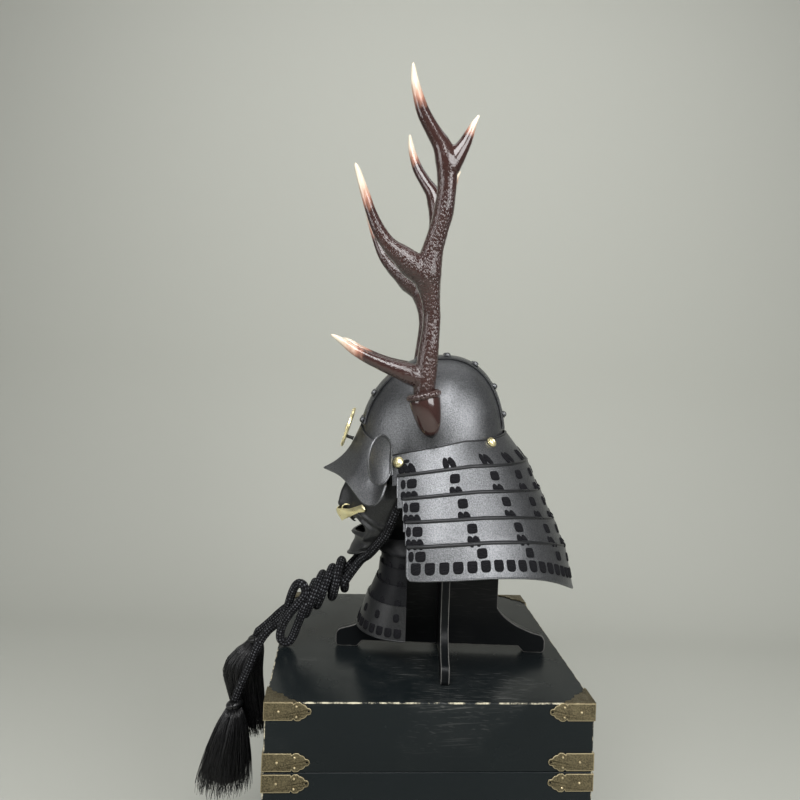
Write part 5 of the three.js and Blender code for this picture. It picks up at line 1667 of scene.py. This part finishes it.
def box_shell(name, low, high, open_end):
    select_only()
    bpy.ops.mesh.primitive_cube_add(size=1, location=(0, 0, (low + high) / 2),
                                    scale=(box_width, box_width, high - low))
    shell = bpy.context.object
    shell.name = name
    shell.data.transform(shell.matrix_world)
    shell.matrix_world = Matrix.Identity(4)
    select_faces(shell, lambda face: face.normal.z * open_end > 0.9)
    bpy.ops.mesh.delete(type="FACE")
    leave_edit(shell, 40)
    apply(shell, "SOLIDIFY", thickness=box_wall, offset=-1)
    apply(shell, "BEVEL", width=box_bevel, segments=3, limit_method="ANGLE")
    half = box_width / 2
    inner = half - box_bevel - worn_reach
    closed_end = high - box_bevel - worn_reach if open_end < 0 else low + box_bevel + worn_reach
    for axis, level in ((0, inner), (0, -inner), (1, inner), (1, -inner), (2, closed_end)):
        select_faces(shell, lambda face: True)
        way = Vector([float(axis == n) for n in range(3)])
        bpy.ops.mesh.bisect(plane_co=way * level, plane_no=way)
        leave_edit(shell, 40)

    def near_edge(place):
        from_end = (high - place.z) if open_end < 0 else (place.z - low)
        away = sorted([half - abs(place.x), half - abs(place.y), from_end])
        return 1 - min(max(away[1] - box_bevel, 0) / worn_reach, 1)
    mark(shell, "edge", near_edge)
    return shell


seam = box_height - lid_height
lid = box_shell("box_lid_shell", seam + seat_gap / 2, box_height, -1)
lid.data.transform(box_matrix)
dress(lid, lacquer, "box_lacquer", "box_lid")
body = box_shell("box_body_shell", 0, seam - seat_gap / 2, 1)
lip_half = box_width / 2 - box_wall - seat_gap
select_only()
bpy.ops.mesh.primitive_cube_add(size=1, location=(0, 0, seam),
                                scale=(2 * lip_half, 2 * lip_half, 2 * lip_height))
locating = bpy.context.object
locating.data.transform(locating.matrix_world)
locating.matrix_world = Matrix.Identity(4)
select_faces(locating, lambda face: abs(face.normal.z) > 0.9)
bpy.ops.mesh.delete(type="FACE")
leave_edit(locating, 40)
apply(locating, "SOLIDIFY", thickness=lip_inner, offset=-1)
body = joined("box_body_shell", [body, locating])
body.data.transform(box_matrix)
dress(body, lacquer, "box_lacquer", "box_body")


# Brass fittings: stippled straps with scalloped ends that wrap the box's corners, each held by
# three small nails. Those on the lid's upper edge fold over its top.
brass_length = 0.06
brass_half = 0.0115
brass_thickness = 0.0012
brass_inset = 0.002
brass_edge = 0.0003
nail_hole = 0.0014
brass, brass_tree, brass_shader = new_material("aged_brass", (0.2, 0.165, 0.1), 0.42, 0.9)
stipple = brass_tree.nodes.new("ShaderNodeTexVoronoi")
stipple.inputs["Scale"].default_value = 900
stipple_place = brass_tree.nodes.new("ShaderNodeTexCoord")
brass_tree.links.new(stipple_place.outputs["Object"], stipple.inputs["Vector"])
tarnish = noise_of(brass_tree, 60, 5)
brass_tone = mix_color(brass_tree, spread_value(brass_tree, tarnish, 0.3, 0.75), (0.06, 0.05, 0.03, 1),
                       (0.15, 0.125, 0.075, 1))
brass_dots = spread_value(brass_tree, noise_of(brass_tree, 520, 2), 0.4, 0.62)
brass_dots = math_node(brass_tree, "MULTIPLY", brass_dots, 0.5)
brass_tone = mix_color(brass_tree, brass_dots, brass_tone, (0.3, 0.25, 0.145, 1))
rubbed = brass_tree.nodes.new("ShaderNodeAttribute")
rubbed.attribute_name = "edge"
rubbed_share = spread_value(brass_tree, rubbed.outputs["Fac"], 0.4, 0.8)
brass_tone = mix_color(brass_tree, rubbed_share, brass_tone, (0.5, 0.42, 0.26, 1))
brass_tree.links.new(brass_tone, brass_shader.inputs["Base Color"])
brass_rough = spread_value(brass_tree, tarnish, 0.3, 0.7, 0.55, 0.32)
brass_tree.links.new(brass_rough, brass_shader.inputs["Roughness"])
bump(brass_tree, brass_shader, stipple.outputs["Distance"], 0.0006, 0.6)


def scalloped(length):
    upper = [(-brass_thickness, brass_half), (0.6 * length, brass_half), (0.615 * length, brass_half * 0.8)]
    for k in range(1, 24):
        x = mix(0.63, 1.0, k / 24) * length
        tops = [0.0]
        for cx, cy, r in ((0.71, 0.55, 0.1), (0.8, 0.2, 0.115), (0.93, 0.0, 0.073)):
            inside = (r * length) ** 2 - (x - cx * length) ** 2
            if inside > 0:
                tops.append(cy * brass_half + math.sqrt(inside))
        upper.append((x, min(max(tops), brass_half * 1.04)))
    return upper + [(length, 0)] + [(x, -y) for x, y in reversed(upper)]


def brass_finger():
    strap = outline_piece("strap", scalloped(brass_length), brass_thickness, brass_edge,
                          [arc(0.94 * brass_length, 0, nail_hole, 350, 0, 12)])
    select_faces(strap, lambda face: abs(face.normal.z) > 0.99)
    bpy.ops.mesh.inset(thickness=0.0014, depth=0)
    leave_edit(strap, 35)
    mark_edges(strap, scalloped(brass_length), brass_thickness / 2, 0.002)
    parts = [strap]
    for along_share, up in ((0.3, 0.0), (0.68, 0.0065), (0.68, -0.0065)):
        nail = profile_piece("nail", [(0.0017, 0), (0.0016, 0.001), (0.001, 0.0016), (0.0001, 0.0018)], 12)
        mark(nail, "edge", lambda place: 1.0)
        nail.data.transform(Matrix.Translation((along_share * brass_length, up, brass_thickness / 2)))
        parts.append(nail)
    return joined("finger", parts)


finger = brass_finger()
half = box_width / 2 + seat_gap
lie = Matrix.Translation((0, -brass_thickness / 2, 0)) @ Matrix.Rotation(math.pi / 2, 4, "X")
swing = Matrix.Scale(-1, 4, (1, 0, 0)) @ Matrix.Rotation(math.pi / 2, 4, "Z")
levels = {"lid_top": box_height + seat_gap - brass_half, "lid_bottom": seam + brass_inset + brass_half,
          "body_top": seam - brass_inset - brass_half, "body_bottom": brass_inset + brass_half}
corners = {"left_front": (1, -1, 90), "left_rear": (1, 1, 180),
           "right_rear": (-1, 1, 270), "right_front": (-1, -1, 0)}
wing_reach = 0.7 * brass_length
wing_outline = [(-brass_thickness, -brass_thickness), (wing_reach, -brass_thickness)]
wing_outline += [(wing_reach * x, wing_reach * y) for x, y in
                 ((0.9, 0.12), (0.72, 0.16), (0.66, 0.3), (0.56, 0.34), (0.52, 0.52), (0.34, 0.56),
                  (0.3, 0.66), (0.16, 0.72), (0.12, 0.9))]
wing_outline += [(-brass_thickness, wing_reach)]
wing = outline_piece("wing", wing_outline, brass_thickness, brass_edge)
for level, height in levels.items():
    for name, (x, y, degrees) in corners.items():
        first = copied(finger, lie)
        second = copied(finger, swing @ lie)
        edit(second)
        bpy.ops.mesh.flip_normals()
        bpy.ops.object.mode_set(mode="OBJECT")
        parts = [first, second]
        if level == "lid_top":
            parts.append(copied(wing, Matrix.Translation((0, 0, brass_half + brass_thickness / 2))))
        fitting = joined(f"fitting_{level}_{name}", parts)
        turned = Matrix.Rotation(math.radians(degrees), 4, "Z")
        fitting.data.transform(box_matrix @ Matrix.Translation((x * half, y * half, height)) @ turned)
        dress(fitting, brass, "aged_brass", f"brass_{level}_{name}")
discard(finger)
discard(wing)
